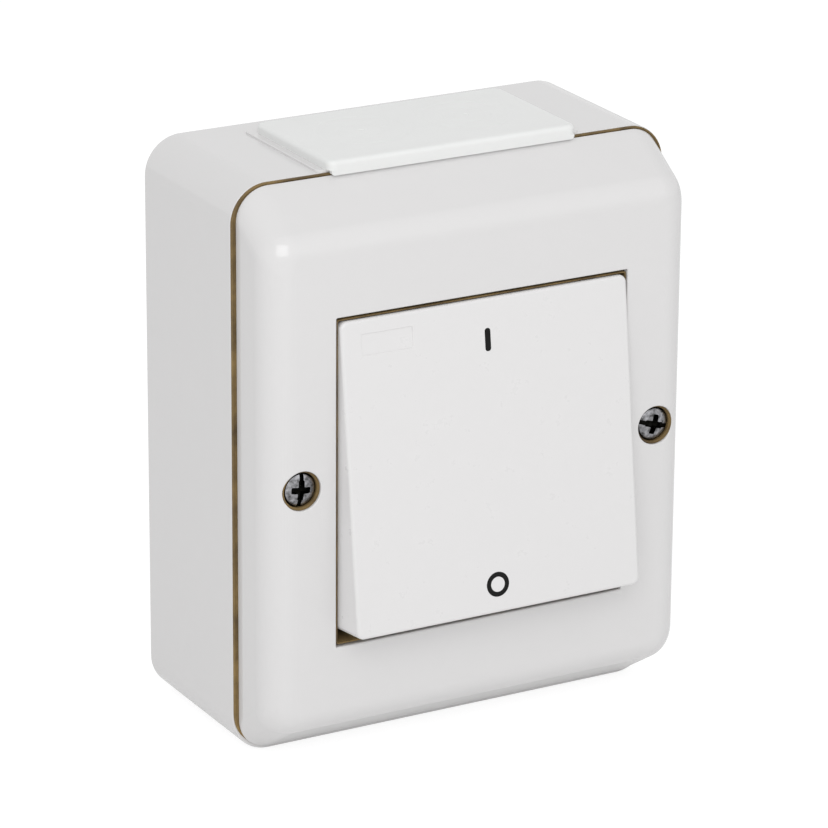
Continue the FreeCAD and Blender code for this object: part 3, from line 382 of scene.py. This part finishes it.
def cornerLoop(bm, place, steps):
    # closed loop with four round corners: place gives each point's place from its mark
    mark = bm.verts.layers.float_vector["mark"]
    ring = bmesh.ops.create_circle(bm, segments=4 * (steps + 1), radius=1)["verts"]
    for index, vert in enumerate(ring):
        quarter, step = divmod(index, steps + 1)
        turn = step / steps * pi / 2
        if quarter % 2:
            turn = pi / 2 - turn
        vert[mark] = (turn, (1, -1, -1, 1)[quarter], (1, 1, -1, -1)[quarter])
        vert.co = place(vert[mark])
    return edgesAmong(bm, ring)


def circleLoop(bm, place, steps):
    # the same for a round loop
    mark = bm.verts.layers.float_vector["mark"]
    ring = bmesh.ops.create_circle(bm, segments=steps, radius=1)["verts"]
    for index, vert in enumerate(ring):
        vert[mark] = (2 * pi * index / steps, 0, 0)
        vert.co = place(vert[mark])
    return edgesAmong(bm, ring)


def grow(bm, edges, *places):
    # extrude a loop to each place in turn
    mark = bm.verts.layers.float_vector["mark"]
    for place in places:
        before = set(bm.verts)
        bmesh.ops.extrude_edge_only(bm, edges=edges)
        ring = [vert for vert in bm.verts if vert not in before]
        for vert in ring:
            vert.co = place(vert[mark])
        edges = edgesAmong(bm, ring)
    return edges


def fill(bm, *loops):
    # flat face inside the first loop, with the other loops as holes
    edges = [edge for loop in loops for edge in loop]
    bmesh.ops.triangle_fill(bm, use_beauty=True, edges=edges)


def outline(width, height, radius, depth, centre=(0, 0)):
    # rounded rectangle, as the place of each point of a loop
    def place(mark):
        turn, sideX, sideZ = mark
        return Vector((centre[0] + sideX * (width / 2 - radius + radius * cos(turn)), -depth,
                       centre[1] + sideZ * (height / 2 - radius + radius * sin(turn))))
    return place


def circle(radius, depth, centre=(0, 0)):
    # the same for a circle
    def place(mark):
        return Vector((centre[0] + radius * cos(mark[0]), -depth, centre[1] + radius * sin(mark[0])))
    return place


def rounding(shape, sizes, depth, edge, centre=(0, 0), inward=1, forward=1, steps=5):
    # rings that turn a wall into the flat face at this depth, with a round edge
    rings = []
    for step in range(steps + 1):
        turn = step / steps * pi / 2
        move = edge * (1 - cos(turn)) * inward
        level = depth - forward * edge * (1 - sin(turn))
        if shape is circle:
            rings.append(circle(sizes[0] - move, level, centre))
        else:
            rings.append(outline(sizes[0] - 2 * move, sizes[1] - 2 * move, sizes[2] - move, level, centre))
    return rings


def addBlock(bm, low, high):
    # block between two corners given as x, depth and z
    size = Vector((high[0] - low[0], high[1] - low[1], high[2] - low[2]))
    middle = Vector((low[0] + high[0], -low[1] - high[1], low[2] + high[2])) / 2
    verts = bmesh.ops.create_cube(bm, size=1)["verts"]
    bmesh.ops.scale(bm, vec=size, verts=verts)
    bmesh.ops.translate(bm, vec=middle, verts=verts)
    return verts


meshFinish = {"mergeWithin": 0.002, "sharpAbove": 32}  # in millimetres and degrees


def putInOrder(elements, key):
    # operators leave vertices, edges and faces in no fixed order: this gives the same one in each run
    for index, element in enumerate(sorted(elements, key=key)):
        element.index = index
    elements.sort()


def toObject(bm, name, material):
    bmesh.ops.scale(bm, vec=(mm, mm, mm), verts=bm.verts[:])
    bmesh.ops.remove_doubles(bm, verts=bm.verts[:], dist=meshFinish["mergeWithin"] * mm)
    bmesh.ops.recalc_face_normals(bm, faces=bm.faces[:])
    putInOrder(bm.verts, lambda vert: vert.co[:])
    putInOrder(bm.edges, lambda edge: sorted(vert.index for vert in edge.verts))
    putInOrder(bm.faces, lambda face: sorted(vert.index for vert in face.verts))
    for face in bm.faces:
        face.smooth = True
    for edge in bm.edges:
        edge.smooth = not edge.is_manifold or edge.calc_face_angle() < radians(meshFinish["sharpAbove"])
    if "mark" in bm.verts.layers.float_vector:
        bm.verts.layers.float_vector.remove(bm.verts.layers.float_vector["mark"])
    mesh = bpy.data.meshes.new(name)
    bm.to_mesh(mesh)
    bm.free()
    mesh.materials.append(material)
    piece = bpy.data.objects.new(name, mesh)
    bpy.context.scene.collection.objects.link(piece)
    return piece


def evenShading(piece):
    # flat faces stay flat and round edges turn evenly between them
    weighted = piece.modifiers.new("evenShading", "WEIGHTED_NORMAL")
    weighted.keep_sharp = True
    weighted.weight = 90


def putOn(piece, body, slotName, *nodes):
    evenShading(piece)
    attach(piece, body)
    if nodes:
        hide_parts(*nodes)
    print(piece.name, len(piece.data.polygons), "faces")


# Rear box

# names with X or Z are distances from the middle, and an end, a top and the earth seat are depths
rearBox = {"corner": 6.65, "wall": 2.4, "floor": 2.5, "backEdge": 0.6, "rimEdge": 0.2,
           "grooveInset": 1.15, "grooveWidth": 0.9, "grooveDepth": 1.0,
           "fixingX": 30.0, "fixingZ": 40.0, "fixingHole": 2.5, "fixingBoss": 4.5, "fixingRise": 1.5,
           "post": 4.0, "postHole": 1.8, "postHoleEnd": 13.5,
           "basePostZ": 32.75, "basePost": 4.0, "pad": 3.0, "padX": 22.0, "padZ": 20.0, "padHole": 1.75,
           "rib": 2.4, "ribTop": 28.7, "earthX": 32.5, "earthZ": 20.0, "earthBlock": 8.0,
           "earthSeat": 6.0, "seatLip": 1.4, "seatRound": 1.2, "seatEdge": 0.15,
           "sunk": 0.2, "ribIntoPost": 0.4, "ribIntoWall": 0.3}


def makeRearBox():
    size = rearBox
    bm = newShape()
    width, height, corner = switchWidth, switchHeight, size["corner"]
    back = rounding(outline, (width, height, corner), 0, size["backEdge"], forward=-1)
    backEdge = cornerLoop(bm, back[-1], 16)
    wallEnd = grow(bm, backEdge, *reversed(back[:-1]))

    def stepIn(inset, depth):
        return outline(width - 2 * inset, height - 2 * inset, corner - inset, depth)
    grooveEnd = size["grooveInset"] + size["grooveWidth"]
    grooveFloor = boxDepth - size["grooveDepth"]
    rim = rounding(outline, (width, height, corner), boxDepth, size["rimEdge"], steps=3)
    inside = grow(bm, wallEnd, *rim, stepIn(size["grooveInset"], boxDepth),
                  stepIn(size["grooveInset"], grooveFloor), stepIn(grooveEnd, grooveFloor),
                  stepIn(grooveEnd, boxDepth), stepIn(size["wall"], boxDepth),
                  stepIn(size["wall"], size["floor"]))
    floorLoops, backLoops = [inside], [backEdge]
    signs = [(sideX, sideZ) for sideX in (1, -1) for sideZ in (1, -1)]

    def post(radius, hole, top, holeEnd, centre):
        # post on the floor, with a blind or open hole down its middle
        foot = circleLoop(bm, circle(radius, size["floor"], centre), 40)
        floorLoops.append(foot)
        return grow(bm, foot, circle(radius, top, centre), circle(hole, top, centre),
                    circle(hole, holeEnd, centre))
    for sideX, sideZ in signs:
        centre = (sideX * size["fixingX"], sideZ * size["fixingZ"])
        rise = size["floor"] + size["fixingRise"]
        backLoops.append(post(size["fixingBoss"], size["fixingHole"], rise, 0, centre))
        centre = (sideX * size["padX"], sideZ * size["padZ"])
        pad = circleLoop(bm, circle(size["pad"], size["floor"], centre), 32)
        floorLoops.append(pad)
        fill(bm, grow(bm, pad, circle(size["pad"], baseRear, centre)))
    for side in (1, -1):
        fill(bm, post(size["post"], size["postHole"], boxDepth, size["postHoleEnd"], (side * screwX, 0)))
        fill(bm, post(size["basePost"], size["padHole"], baseRear, size["floor"],
                      (0, side * size["basePostZ"])))
    fill(bm, *floorLoops)
    fill(bm, *backLoops)

    # ribs from the posts to the side walls, and the seat of the earth terminal
    foot = size["floor"] - size["sunk"]
    for side in (1, -1):
        atPost = screwX + size["post"] - size["ribIntoPost"]
        atWall = width / 2 - size["wall"] + size["ribIntoWall"]
        ends = sorted((side * atPost, side * atWall))
        addBlock(bm, (ends[0], foot, -size["rib"] / 2), (ends[1], size["ribTop"], size["rib"] / 2))
    half = size["earthBlock"] / 2
    addBlock(bm, (size["earthX"] - half, foot, size["earthZ"] - half),
             (size["earthX"] + half, size["earthSeat"], size["earthZ"] + half))
    return bm


def makeEntrySeat(bm):
    # thin raised lip round the cable entry plate, built facing the front and tipped back on to the top
    size = rearBox
    lip = newShape()
    width = plateHigh.x - plateLow.x + 2 * size["seatLip"]
    rear = plateHigh.y + size["seatLip"]
    length = rear + boxDepth
    centre = (0, rear - length / 2)
    shape = (width, length, size["seatRound"])
    top = rounding(outline, shape, boxHigh.z, size["seatEdge"], centre, steps=3)
    foot = cornerLoop(lip, outline(*shape, switchHeight / 2 - size["sunk"], centre), 6)
    fill(lip, grow(lip, foot, *top))
    fill(lip, foot)
    bmesh.ops.rotate(lip, matrix=Matrix.Rotation(-pi / 2, 3, "X"), verts=lip.verts[:])
    mesh = bpy.data.meshes.new("lip")
    lip.to_mesh(mesh)
    lip.free()
    bm.from_mesh(mesh)
    bpy.data.meshes.remove(mesh)


rearShape = makeRearBox()
makeEntrySeat(rearShape)
putOn(toObject(rearShape, "rear_box_shell", absGloss), "housing", "housing", "rear_box")


# Front cover

cover = {"corner": 5.75, "frontRound": 5.0, "slantDrop": 7.15, "wall": 2.4, "rimEdge": 0.2,
         "openingWidth": 55.3, "openingHeight": 57.72, "openingCorner": 0.25, "openingEdge": 0.3,
         "collarWall": 1.5, "well": 3.42, "wellEdge": 0.25, "wellSkim": 0.012, "wellFloor": 39.69,
         "bossHole": 2.1, "boss": 4.6, "bossEnd": 32.0, "foldSteps": 16, "lipSteps": 6}


def makeFrontCover():
    size = cover
    bm = newShape()
    width, height = coverWidth, coverHeight
    length = coverFace - coverRear
    corner, ball, drop = size["corner"], size["frontRound"], size["slantDrop"]
    slant = atan(drop / length)
    tangent = ball * tan((pi / 2 - slant) / 2)

    def onCover(share):
        # ring on the round edge between wall and face: 0 is the wall, 1 the face
        def place(mark):
            turn, sideX, sideZ = mark
            across, up = cos(turn), sin(turn)
            reach = ball * across ** 2 + tangent * cos(slant) * up ** 2
            fold = Vector((width / 2 - corner + corner * across, -coverFace,
                           height / 2 - drop - corner + corner * up))
            onWall = fold + Vector((0, reach, drop * reach / length))
            onFace = fold - Vector((ball * across, 0, tangent * up))
            bend = cos((fold - onWall).angle(onFace - fold) / 2)
            weights = ((1 - share) ** 2, 2 * bend * share * (1 - share), share ** 2)
            point = (weights[0] * onWall + weights[1] * fold + weights[2] * onFace) / sum(weights)
            return Vector((sideX * point.x, point.y, sideZ * point.z))
        return place
    rimSizes = (width, height, corner)
    rimRings = rounding(outline, rimSizes, coverRear, size["rimEdge"], forward=-1, steps=3)
    rim = cornerLoop(bm, rimRings[-1], 16)
    fold = [onCover(step / size["foldSteps"]) for step in range(size["foldSteps"] + 1)]
    frontEdge = grow(bm, rim, *reversed(rimRings[:-1]), *fold)

    slantWall = size["wall"] / cos(slant)
    innerFace = coverFace - size["wall"]
    innerDrop = drop * (length - size["wall"]) / length + slantWall
    innerCorner = corner - size["wall"]
    innerWidth = width - 2 * size["wall"]
    inner = grow(bm, rim, outline(innerWidth, height - 2 * slantWall, innerCorner, coverRear),
                 outline(innerWidth, height - 2 * innerDrop, innerCorner, innerFace))

    # opening, with its collar behind it
    opening = (size["openingWidth"], size["openingHeight"], size["openingCorner"])
    edgeRings = rounding(outline, opening, coverFace, size["openingEdge"], inward=-1)
    openingEdge = cornerLoop(bm, edgeRings[-1], 6)
    wider = [side + 2 * size["collarWall"] for side in opening[:2]] + [opening[2] + size["collarWall"]]
    collar = grow(bm, openingEdge, *reversed(edgeRings[:-1]), outline(*opening, sealFront),
                  outline(*wider, sealFront), outline(*wider, innerFace))
    bosses = []
    for side in (1, -1):
        centre = (side * screwX, 0)
        boss = circleLoop(bm, circle(size["boss"], innerFace, centre), 48)
        bosses.append(boss)
        fill(bm, grow(bm, boss, circle(size["boss"], size["bossEnd"], centre)))
    fill(bm, frontEdge, openingEdge)
    fill(bm, inner, collar, *bosses)
    return bm


def makeWells():
    # cutters of the sunk wells, with a round lip that follows the cover where it starts to round off
    # the lip starts a hair under the surface, so that cutter and cover share no face
    size = cover
    bm = newShape()
    flat = coverWidth / 2 - size["frontRound"]
    for side in (1, -1):
        def onLip(radius, sink, side=side):
            def place(mark):
                across = side * screwX + radius * cos(mark[0])
                fall = max(abs(across) - flat, 0)
                surface = coverFace - size["frontRound"] + sqrt(size["frontRound"] ** 2 - fall ** 2)
                return Vector((across, sink - surface, radius * sin(mark[0])))
            return place
        centre = (side * screwX, 0)
        edge = size["wellEdge"]
        lip = []
        for step in range(size["lipSteps"] + 1):
            turn = step / size["lipSteps"] * pi / 2
            sink = size["wellSkim"] + edge * (1 - sin(turn))
            lip.append(onLip(size["well"] + edge * (1 - cos(turn)), sink))
        top = circleLoop(bm, circle(size["well"] + edge, coverFace + cutterReach, centre), 72)
        fill(bm, top)
        end = grow(bm, top, *reversed(lip), circle(size["well"], size["wellFloor"], centre),
                   circle(size["bossHole"], size["wellFloor"], centre),
                   circle(size["bossHole"], size["bossEnd"] - cutterReach, centre))
        fill(bm, end)
    return bm


def applied(piece):
    # the piece with its modifiers' result as its mesh
    before = piece.data
    evaluated = piece.evaluated_get(bpy.context.evaluated_depsgraph_get())
    piece.data = bpy.data.meshes.new_from_object(evaluated)
    piece.modifiers.clear()
    bpy.data.meshes.remove(before)
    piece.data.name = piece.name
    return piece


def cutOut(piece, cutter, crossing=False):
    carve = piece.modifiers.new("cut", "BOOLEAN")
    carve.operation = "DIFFERENCE"
    carve.solver = "EXACT"
    carve.use_self = crossing
    carve.object = cutter
    applied(piece)
    bpy.data.objects.remove(cutter)


coverShell = toObject(makeFrontCover(), "front_cover_shell", absGloss)
cutOut(coverShell, toObject(makeWells(), "well_cutters", absGloss))
putOn(coverShell, "housing", "housing", "front_cover")


# Gasket in the seam

gasket = {"lift": 0.72, "bulge": 0.16, "bulgeWidth": 0.36, "bulgeSteps": 8, "tongueGap": 0.05}


def makeGasket():
    size = gasket
    bm = newShape()

    def stepIn(inset, depth, lift=0.0):
        # the lip lies higher along the bottom, where the cover hides it
        return outline(switchWidth - 2 * inset, switchHeight - 2 * inset - lift, rearBox["corner"] - inset,
                       depth, (0, lift / 2))
    outermost = switchWidth / 2 - gasketHigh.x
    innermost = rearBox["wall"]
    tongueStart = rearBox["grooveInset"] + size["tongueGap"]
    tongueEnd = rearBox["grooveInset"] + rearBox["grooveWidth"] - size["tongueGap"]
    squeezed = []
    for step in range(size["bulgeSteps"] + 1):
        turn = pi * step / size["bulgeSteps"]
        squeezed.append(stepIn(outermost + size["bulgeWidth"] * (1 - cos(turn)) / 2,
                               coverRear + size["bulge"] * sin(turn), size["lift"]))
    first = cornerLoop(bm, stepIn(outermost, boxDepth, size["lift"]), 16)
    grow(bm, first, *squeezed, stepIn(innermost, coverRear), stepIn(innermost, boxDepth),
         stepIn(tongueEnd, boxDepth), stepIn(tongueEnd, -gasketHigh.y), stepIn(tongueStart, -gasketHigh.y),
         stepIn(tongueStart, boxDepth), stepIn(outermost, boxDepth, size["lift"]))
    return bm


putOn(toObject(makeGasket(), "gasket_lip", epdmRubber), "housing", "seal_rubber", "box_gasket")


# Cable entry plate, built facing the front and tipped back on to the top

entryPlate = {"corner": 1.5, "edge": 0.8, "neckWidth": 41.9, "neckRear": 9.05, "neckCorner": 0.3,
              "membraneX": 9.95, "membraneY": -19.1, "hollow": 7.6, "skin": 1.0, "rings": (8.3, 4.6),
              "ringWidth": 1.3, "ringDepth": 0.08, "ringSteps": 6, "nub": 0.55, "nubRise": 0.12,
              "nubSunk": 0.01, "lipGap": 0.1, "lipInset": 0.5, "lipRear": 0.05, "lipCorner": 0.6}


def makeEntryPlate():
    size = entryPlate
    bm = newShape()
    width = plateHigh.x - plateLow.x
    top, seat, bottom = plateHigh.z, boxHigh.z, plateLow.z
    wallInside = switchHeight / 2 - rearBox["wall"]
    length = plateHigh.y - plateLow.y
    centre = (0, (plateHigh.y + plateLow.y) / 2)
    rings = rounding(outline, (width, length, size["corner"]), top, size["edge"], centre, steps=8)
    topEdge = cornerLoop(bm, rings[-1], 8)
    neckLength = boxDepth - size["neckRear"]
    neckCentre = (0, -boxDepth + neckLength / 2)
    innerLength = boxDepth + plateHigh.y
    innerCentre = (0, -boxDepth + innerLength / 2)
    neck = (size["neckWidth"], neckLength, size["neckCorner"])
    flange = (width, innerLength, size["neckCorner"])
    underside = grow(bm, topEdge, *reversed(rings[:-1]),
                     outline(width, length, size["corner"], seat, centre),
                     outline(*neck, seat, neckCentre), outline(*neck, wallInside, neckCentre),
                     outline(*flange, wallInside, innerCentre), outline(*flange, bottom, innerCentre))
    topLoops, bottomLoops = [topEdge], [underside]
    for side in (1, -1):
        middle = (side * size["membraneX"], size["membraneY"])
        # moulded rings as shallow troughs, with a small gate mark in the middle
        outerRing, innerRing = size["rings"]
        loop = circleLoop(bm, circle(outerRing, top, middle), 72)
        topLoops.append(loop)
        for radius, nextRadius in ((outerRing, innerRing), (innerRing, size["nub"])):
            trough = []
            for step in range(1, size["ringSteps"] + 1):
                turn = 2 * pi * step / size["ringSteps"]
                trough.append(circle(radius - size["ringWidth"] * step / size["ringSteps"],
                                     top - size["ringDepth"] * (1 - cos(turn)) / 2, middle))
            loop = grow(bm, loop, *trough, circle(nextRadius, top, middle))
        dome = []
        for turn in (pi / 8, pi / 4, 3 * pi / 8):
            level = top - size["nubSunk"] - size["nubRise"] * (1 - sin(turn))
            dome.append(circle(size["nub"] * cos(turn), level, middle))
        fill(bm, grow(bm, loop, *dome))
        hole = circleLoop(bm, circle(size["hollow"], bottom, middle), 48)
        bottomLoops.append(hole)
        fill(bm, grow(bm, hole, circle(size["hollow"], top - size["skin"], middle)))
    fill(bm, *topLoops)
    fill(bm, *bottomLoops)
    lip = addBlock(bm, (plateLow.x + size["lipInset"], coverHeight / 2 + size["lipGap"], plateLow.y),
                   (plateHigh.x - size["lipInset"], seat, -coverRear - size["lipRear"]))

    # the lip's lower front corners are round: these are its lowest edges that run from front to back
    lowest = max(vert.co.y for vert in lip)
    near = 0.01
    corners = [edge for edge in edgesAmong(bm, lip) if abs(edge.verts[0].co.x - edge.verts[1].co.x) < near
               and min(vert.co.y for vert in edge.verts) > lowest - near]
    bmesh.ops.bevel(bm, geom=corners, offset=size["lipCorner"], segments=5, profile=0.5,
                    affect="EDGES", material=-1)
    bmesh.ops.rotate(bm, matrix=Matrix.Rotation(-pi / 2, 3, "X"), verts=bm.verts[:])
    return bm


putOn(toObject(makeEntryPlate(), "cable_entry_cover", tpeSoft), "housing", "entry_plate",
      "cable_entry_plate")


# Rocker, built upright about its axle and then tilted to rest

# a bar and a field are given as width, height and corner
key = {"width": 54.4, "height": 53.9, "reach": 12.0, "skirt": 10.0, "face": 2.0, "wall": 1.8,
       "corner": 1.3, "edge": 0.6, "innerCorner": 0.3, "clipX": 18.55, "clipWall": 1.2,
       "clipHeight": 16.0, "clipLength": 6.5, "clipSunk": 0.3, "bar": (1.1, 3.95, 0.5),
       "barCentre": (0, 19.95), "ring": 2.15, "stroke": 0.85, "ringCentre": (-0.4, -22.0),
       "markDepth": 0.25, "markEdge": 0.05, "field": (9.5, 3.6, 0.25), "fieldCentre": (-18.75, 22.6),
       "fieldEdge": 0.08, "fieldDepth": 0.15}


def tiltKey(bm):
    # about the axle, from upright to rest with the top pressed in
    bmesh.ops.rotate(bm, matrix=Matrix.Rotation(-radians(restTilt), 3, "X"), verts=bm.verts[:])
    bmesh.ops.translate(bm, vec=(0, -axleDepth, 0), verts=bm.verts[:])
    return bm


def makeKey():
    size = key
    bm = newShape()
    reach = size["reach"]
    outer = (size["width"], size["height"], size["corner"])
    rings = rounding(outline, outer, reach, size["edge"], steps=8)
    faceEdge = cornerLoop(bm, rings[-1], 10)
    inner = (size["width"] - 2 * size["wall"], size["height"] - 2 * size["wall"], size["innerCorner"])
    back = reach - size["skirt"]
    pocket = grow(bm, faceEdge, *reversed(rings[:-1]), outline(*outer, back), outline(*inner, back),
                  outline(*inner, reach - size["face"]))
    fill(bm, pocket)

    # bare shallow field, and the seats of the two marks
    field, centre = size["field"], size["fieldCentre"]
    fieldRings = rounding(outline, field, reach, size["fieldEdge"], centre, inward=-1, steps=3)
    fieldEdge = cornerLoop(bm, fieldRings[-1], 4)
    fill(bm, grow(bm, fieldEdge, *reversed(fieldRings[:-1]),
                  outline(*field, reach - size["fieldDepth"], centre)))
    seatFloor = reach - size["markDepth"]
    bar, centre = size["bar"], size["barCentre"]
    barEdge = cornerLoop(bm, outline(*bar, reach, centre), 5)
    fill(bm, grow(bm, barEdge, outline(*bar, seatFloor, centre)))
    ring, centre = size["ring"], size["ringCentre"]
    island = ring - size["stroke"]
    ringEdge = circleLoop(bm, circle(ring, reach, centre), 64)
    fill(bm, grow(bm, ringEdge, circle(ring, seatFloor, centre), circle(island, seatFloor, centre),
                  circle(island, reach, centre)))
    fill(bm, faceEdge, fieldEdge, barEdge, ringEdge)
    for side in (1, -1):
        ends = sorted((side * size["clipX"], side * (size["clipX"] + size["clipWall"])))
        addBlock(bm, (ends[0], reach - size["face"] - size["clipLength"], -size["clipHeight"] / 2),
                 (ends[1], reach - size["face"] + size["clipSunk"], size["clipHeight"] / 2))
    return tiltKey(bm)


def makeBarMark():
    size = key
    bm = newShape()
    bar, centre = size["bar"], size["barCentre"]
    foot = cornerLoop(bm, outline(*bar, size["reach"] - size["markDepth"], centre), 5)
    fill(bm, foot)
    fill(bm, grow(bm, foot, *rounding(outline, bar, size["reach"], size["markEdge"], centre, steps=3)))
    return tiltKey(bm)


def makeRingMark():
    size = key
    bm = newShape()
    ring, centre = size["ring"], size["ringCentre"]
    low = size["reach"] - size["markDepth"]
    island = ring - size["stroke"]
    foot = circleLoop(bm, circle(ring, low, centre), 64)
    outer = rounding(circle, (ring,), size["reach"], size["markEdge"], centre, steps=3)
    inner = rounding(circle, (island,), size["reach"], size["markEdge"], centre, inward=-1, steps=3)
    grow(bm, foot, *outer, *reversed(inner), circle(island, low, centre), circle(ring, low, centre))
    return tiltKey(bm)


putOn(toObject(makeKey(), "rocker_key", absSatin), "rocker_unit", "rocker", "rocker")
putOn(toObject(makeBarMark(), "on_mark_bar", absBlack), "rocker_unit", "mark_black", "on_mark")
putOn(toObject(makeRingMark(), "off_mark_ring", absBlack), "rocker_unit", "mark_black", "off_mark")


# Rim of the rubber seal, which stands in the gap between key and opening

sealRim = {"sideGap": 0.08, "endGap": 0.06, "thick": 0.2, "corner": 0.25, "outerCorner": 0.3,
           "front": 0.35, "depth": 6.0, "edge": 0.07}


def makeSealRim():
    size = sealRim
    bm = newShape()
    tilt = radians(restTilt)
    swing = key["height"] / 2 * cos(tilt) + key["reach"] * sin(tilt)
    inner = (key["width"] + 2 * size["sideGap"], 2 * (swing + size["endGap"]), size["corner"])
    outer = (inner[0] + 2 * size["thick"], inner[1] + 2 * size["thick"], size["outerCorner"])
    front, rear = coverFace - size["front"], coverFace - size["depth"]
    outside = rounding(outline, outer, front, size["edge"], steps=3)
    inside = rounding(outline, inner, front, size["edge"], inward=-1, steps=3)
    first = cornerLoop(bm, outline(*outer, rear), 6)
    grow(bm, first, *outside, *reversed(inside), outline(*inner, rear), outline(*outer, rear))
    return bm


putOn(toObject(makeSealRim(), "rocker_seal_rim", epdmRubber), "housing", "seal_rubber")


# Cover screws: domed heads with a cross recess and a slot

# the recess is cut by a slot and two wings, each given as length, width and depth, and by a round core
# their corners and tapers are shares of those sizes, and domeShares are shares of the head's radius
screw = {"head": 2.95, "sink": 0.45, "headThick": 2.1, "shank": 1.75, "dome": 6.7,
         "domeShares": (0.2, 0.4, 0.6, 0.8, 0.92), "rimIn": 0.06, "rimTop": 0.02, "rimDrop": 0.14,
         "slot": (7.0, 0.85, 0.9), "wing": (3.7, 1.2, 1.3), "corner": 0.25, "footCorner": 0.2,
         "lengthTaper": 0.9, "widthTaper": 0.85, "core": 0.95, "coreDepth": 1.6, "coreTaper": 0.8,
         "coreTip": 0.15, "coreTipLength": 0.3, "turns": (-16.0, 84.0), "edge": 0.12, "edgeAbove": 40,
         # the last three sizes mark where the head gets painted highlight and painted shade
         "paintedGlintBelow": 0.02, "paintedShadeBelow": 0.16, "paintedShadeRim": 0.3}


def domeDepth(radius):
    # how far out the head's dome stands, this far from the screw's axis
    return coverFace - screw["sink"] - screw["dome"] + sqrt(screw["dome"] ** 2 - radius ** 2)


def makeScrewBlank(side):
    size = screw
    bm = newShape()
    centre = (side * screwX, 0)
    top = coverFace - size["sink"]
    domeRadii = [size["head"] * share for share in size["domeShares"]]
    dome = [circle(radius, domeDepth(radius), centre) for radius in domeRadii]
    middle = circleLoop(bm, dome[0], 64)
    fill(bm, middle)
    rim = domeDepth(size["head"])
    under = top - size["headThick"]
    end = grow(bm, middle, *dome[1:], circle(size["head"] - size["rimIn"], rim - size["rimTop"], centre),
               circle(size["head"], rim - size["rimDrop"], centre), circle(size["head"], under, centre),
               circle(size["shank"], under, centre), circle(size["shank"], screwTip, centre))
    fill(bm, end)
    return bm


def makeRecess(side, turn):
    # tapered cross wings, a slot right across and a round core, as one cutter
    size = screw
    bm = newShape()
    top = coverFace - size["sink"]
    for bar, angle in ((size["slot"], turn), (size["wing"], turn), (size["wing"], turn + 90)):
        length, width, depth = bar
        before = set(bm.verts)
        loop = cornerLoop(bm, outline(length, width, width * size["corner"], top + cutterReach), 4)
        fill(bm, loop)
        fill(bm, grow(bm, loop, outline(length * size["lengthTaper"], width * size["widthTaper"],
                                        width * size["footCorner"], top - depth)))
        added = [vert for vert in bm.verts if vert not in before]
        bmesh.ops.rotate(bm, matrix=Matrix.Rotation(-radians(angle), 3, "Y"), verts=added)
    core = circleLoop(bm, circle(size["core"], top + cutterReach), 32)
    fill(bm, core)
    tip = top - size["coreDepth"]
    fill(bm, grow(bm, core, circle(size["core"] * size["coreTaper"], tip + size["coreTipLength"]),
                  circle(size["coreTip"], tip)))
    bmesh.ops.translate(bm, vec=(side * screwX, 0, 0), verts=bm.verts[:])
    return bm


def makeScrew(side, turn):
    blank = toObject(makeScrewBlank(side), "screw_blank", steelDark)
    cutOut(blank, toObject(makeRecess(side, turn), "screw_recess", steelDark), crossing=True)
    soften = blank.modifiers.new("edges", "BEVEL")
    soften.width = screw["edge"] * mm
    soften.segments = 2
    soften.limit_method = "ANGLE"
    soften.angle_limit = radians(screw["edgeAbove"])
    return applied(blank)


def makeScrews():
    bm = bmesh.new()
    for side, turn in zip((1, -1), screw["turns"]):
        blank = makeScrew(side, turn)
        bm.from_mesh(blank.data)
        bpy.data.objects.remove(blank)
    bmesh.ops.scale(bm, vec=(1 / mm, 1 / mm, 1 / mm), verts=bm.verts[:])
    for face in bm.faces:
        # painted shade: the dark steel goes in the recess and round the rim; painted highlight: the bright
        # steel goes on the recess's edges
        middle = face.calc_center_median()
        radius = min(Vector((abs(middle.x) - screwX, middle.z)).length, screw["head"])
        below = domeDepth(radius) + middle.y
        if below > screw["paintedShadeBelow"] or radius > screw["head"] - screw["paintedShadeRim"]:
            # painted shade in the recess and round the rim
            face.material_index = 1
        elif below > screw["paintedGlintBelow"]:
            # painted highlight: the bright steel on the recess's edges, just under the dome
            face.material_index = 2
    return bm


screws = toObject(makeScrews(), "cover_screw_pair", steelDark)
# second slot: the dark steel as painted shade
screws.data.materials.append(steelPaintedShade)
# third slot: the bright steel as painted highlight
screws.data.materials.append(steelBright)
putOn(screws, "housing", "dark_steel", "cover_screws")


# Rubber collars squeezed round the heads: their slope shows between head and well

# the slope's rings are given as radius and distance behind the front, from the head out to the well
collar = {"front": 0.35, "thick": 1.9, "slope": ((3.06, 0.5), (3.13, 0.4), (3.3, 0.05), (3.4, 0.14))}


def makeCollars():
    size = collar
    bm = newShape()
    front = coverFace - size["front"]
    rear = front - size["thick"]
    inner, outer = size["slope"][0][0], size["slope"][-1][0]
    for side in (1, -1):
        centre = (side * screwX, 0)
        first = circleLoop(bm, circle(inner, rear, centre), 64)
        slope = [circle(radius, front - behind, centre) for radius, behind in size["slope"]]
        grow(bm, first, *slope, circle(outer, rear, centre), circle(inner, rear, centre))
    return bm


putOn(toObject(makeCollars(), "screw_collar_pair", epdmRubber), "housing", "seal_rubber")
print("cover screws and their collars made")
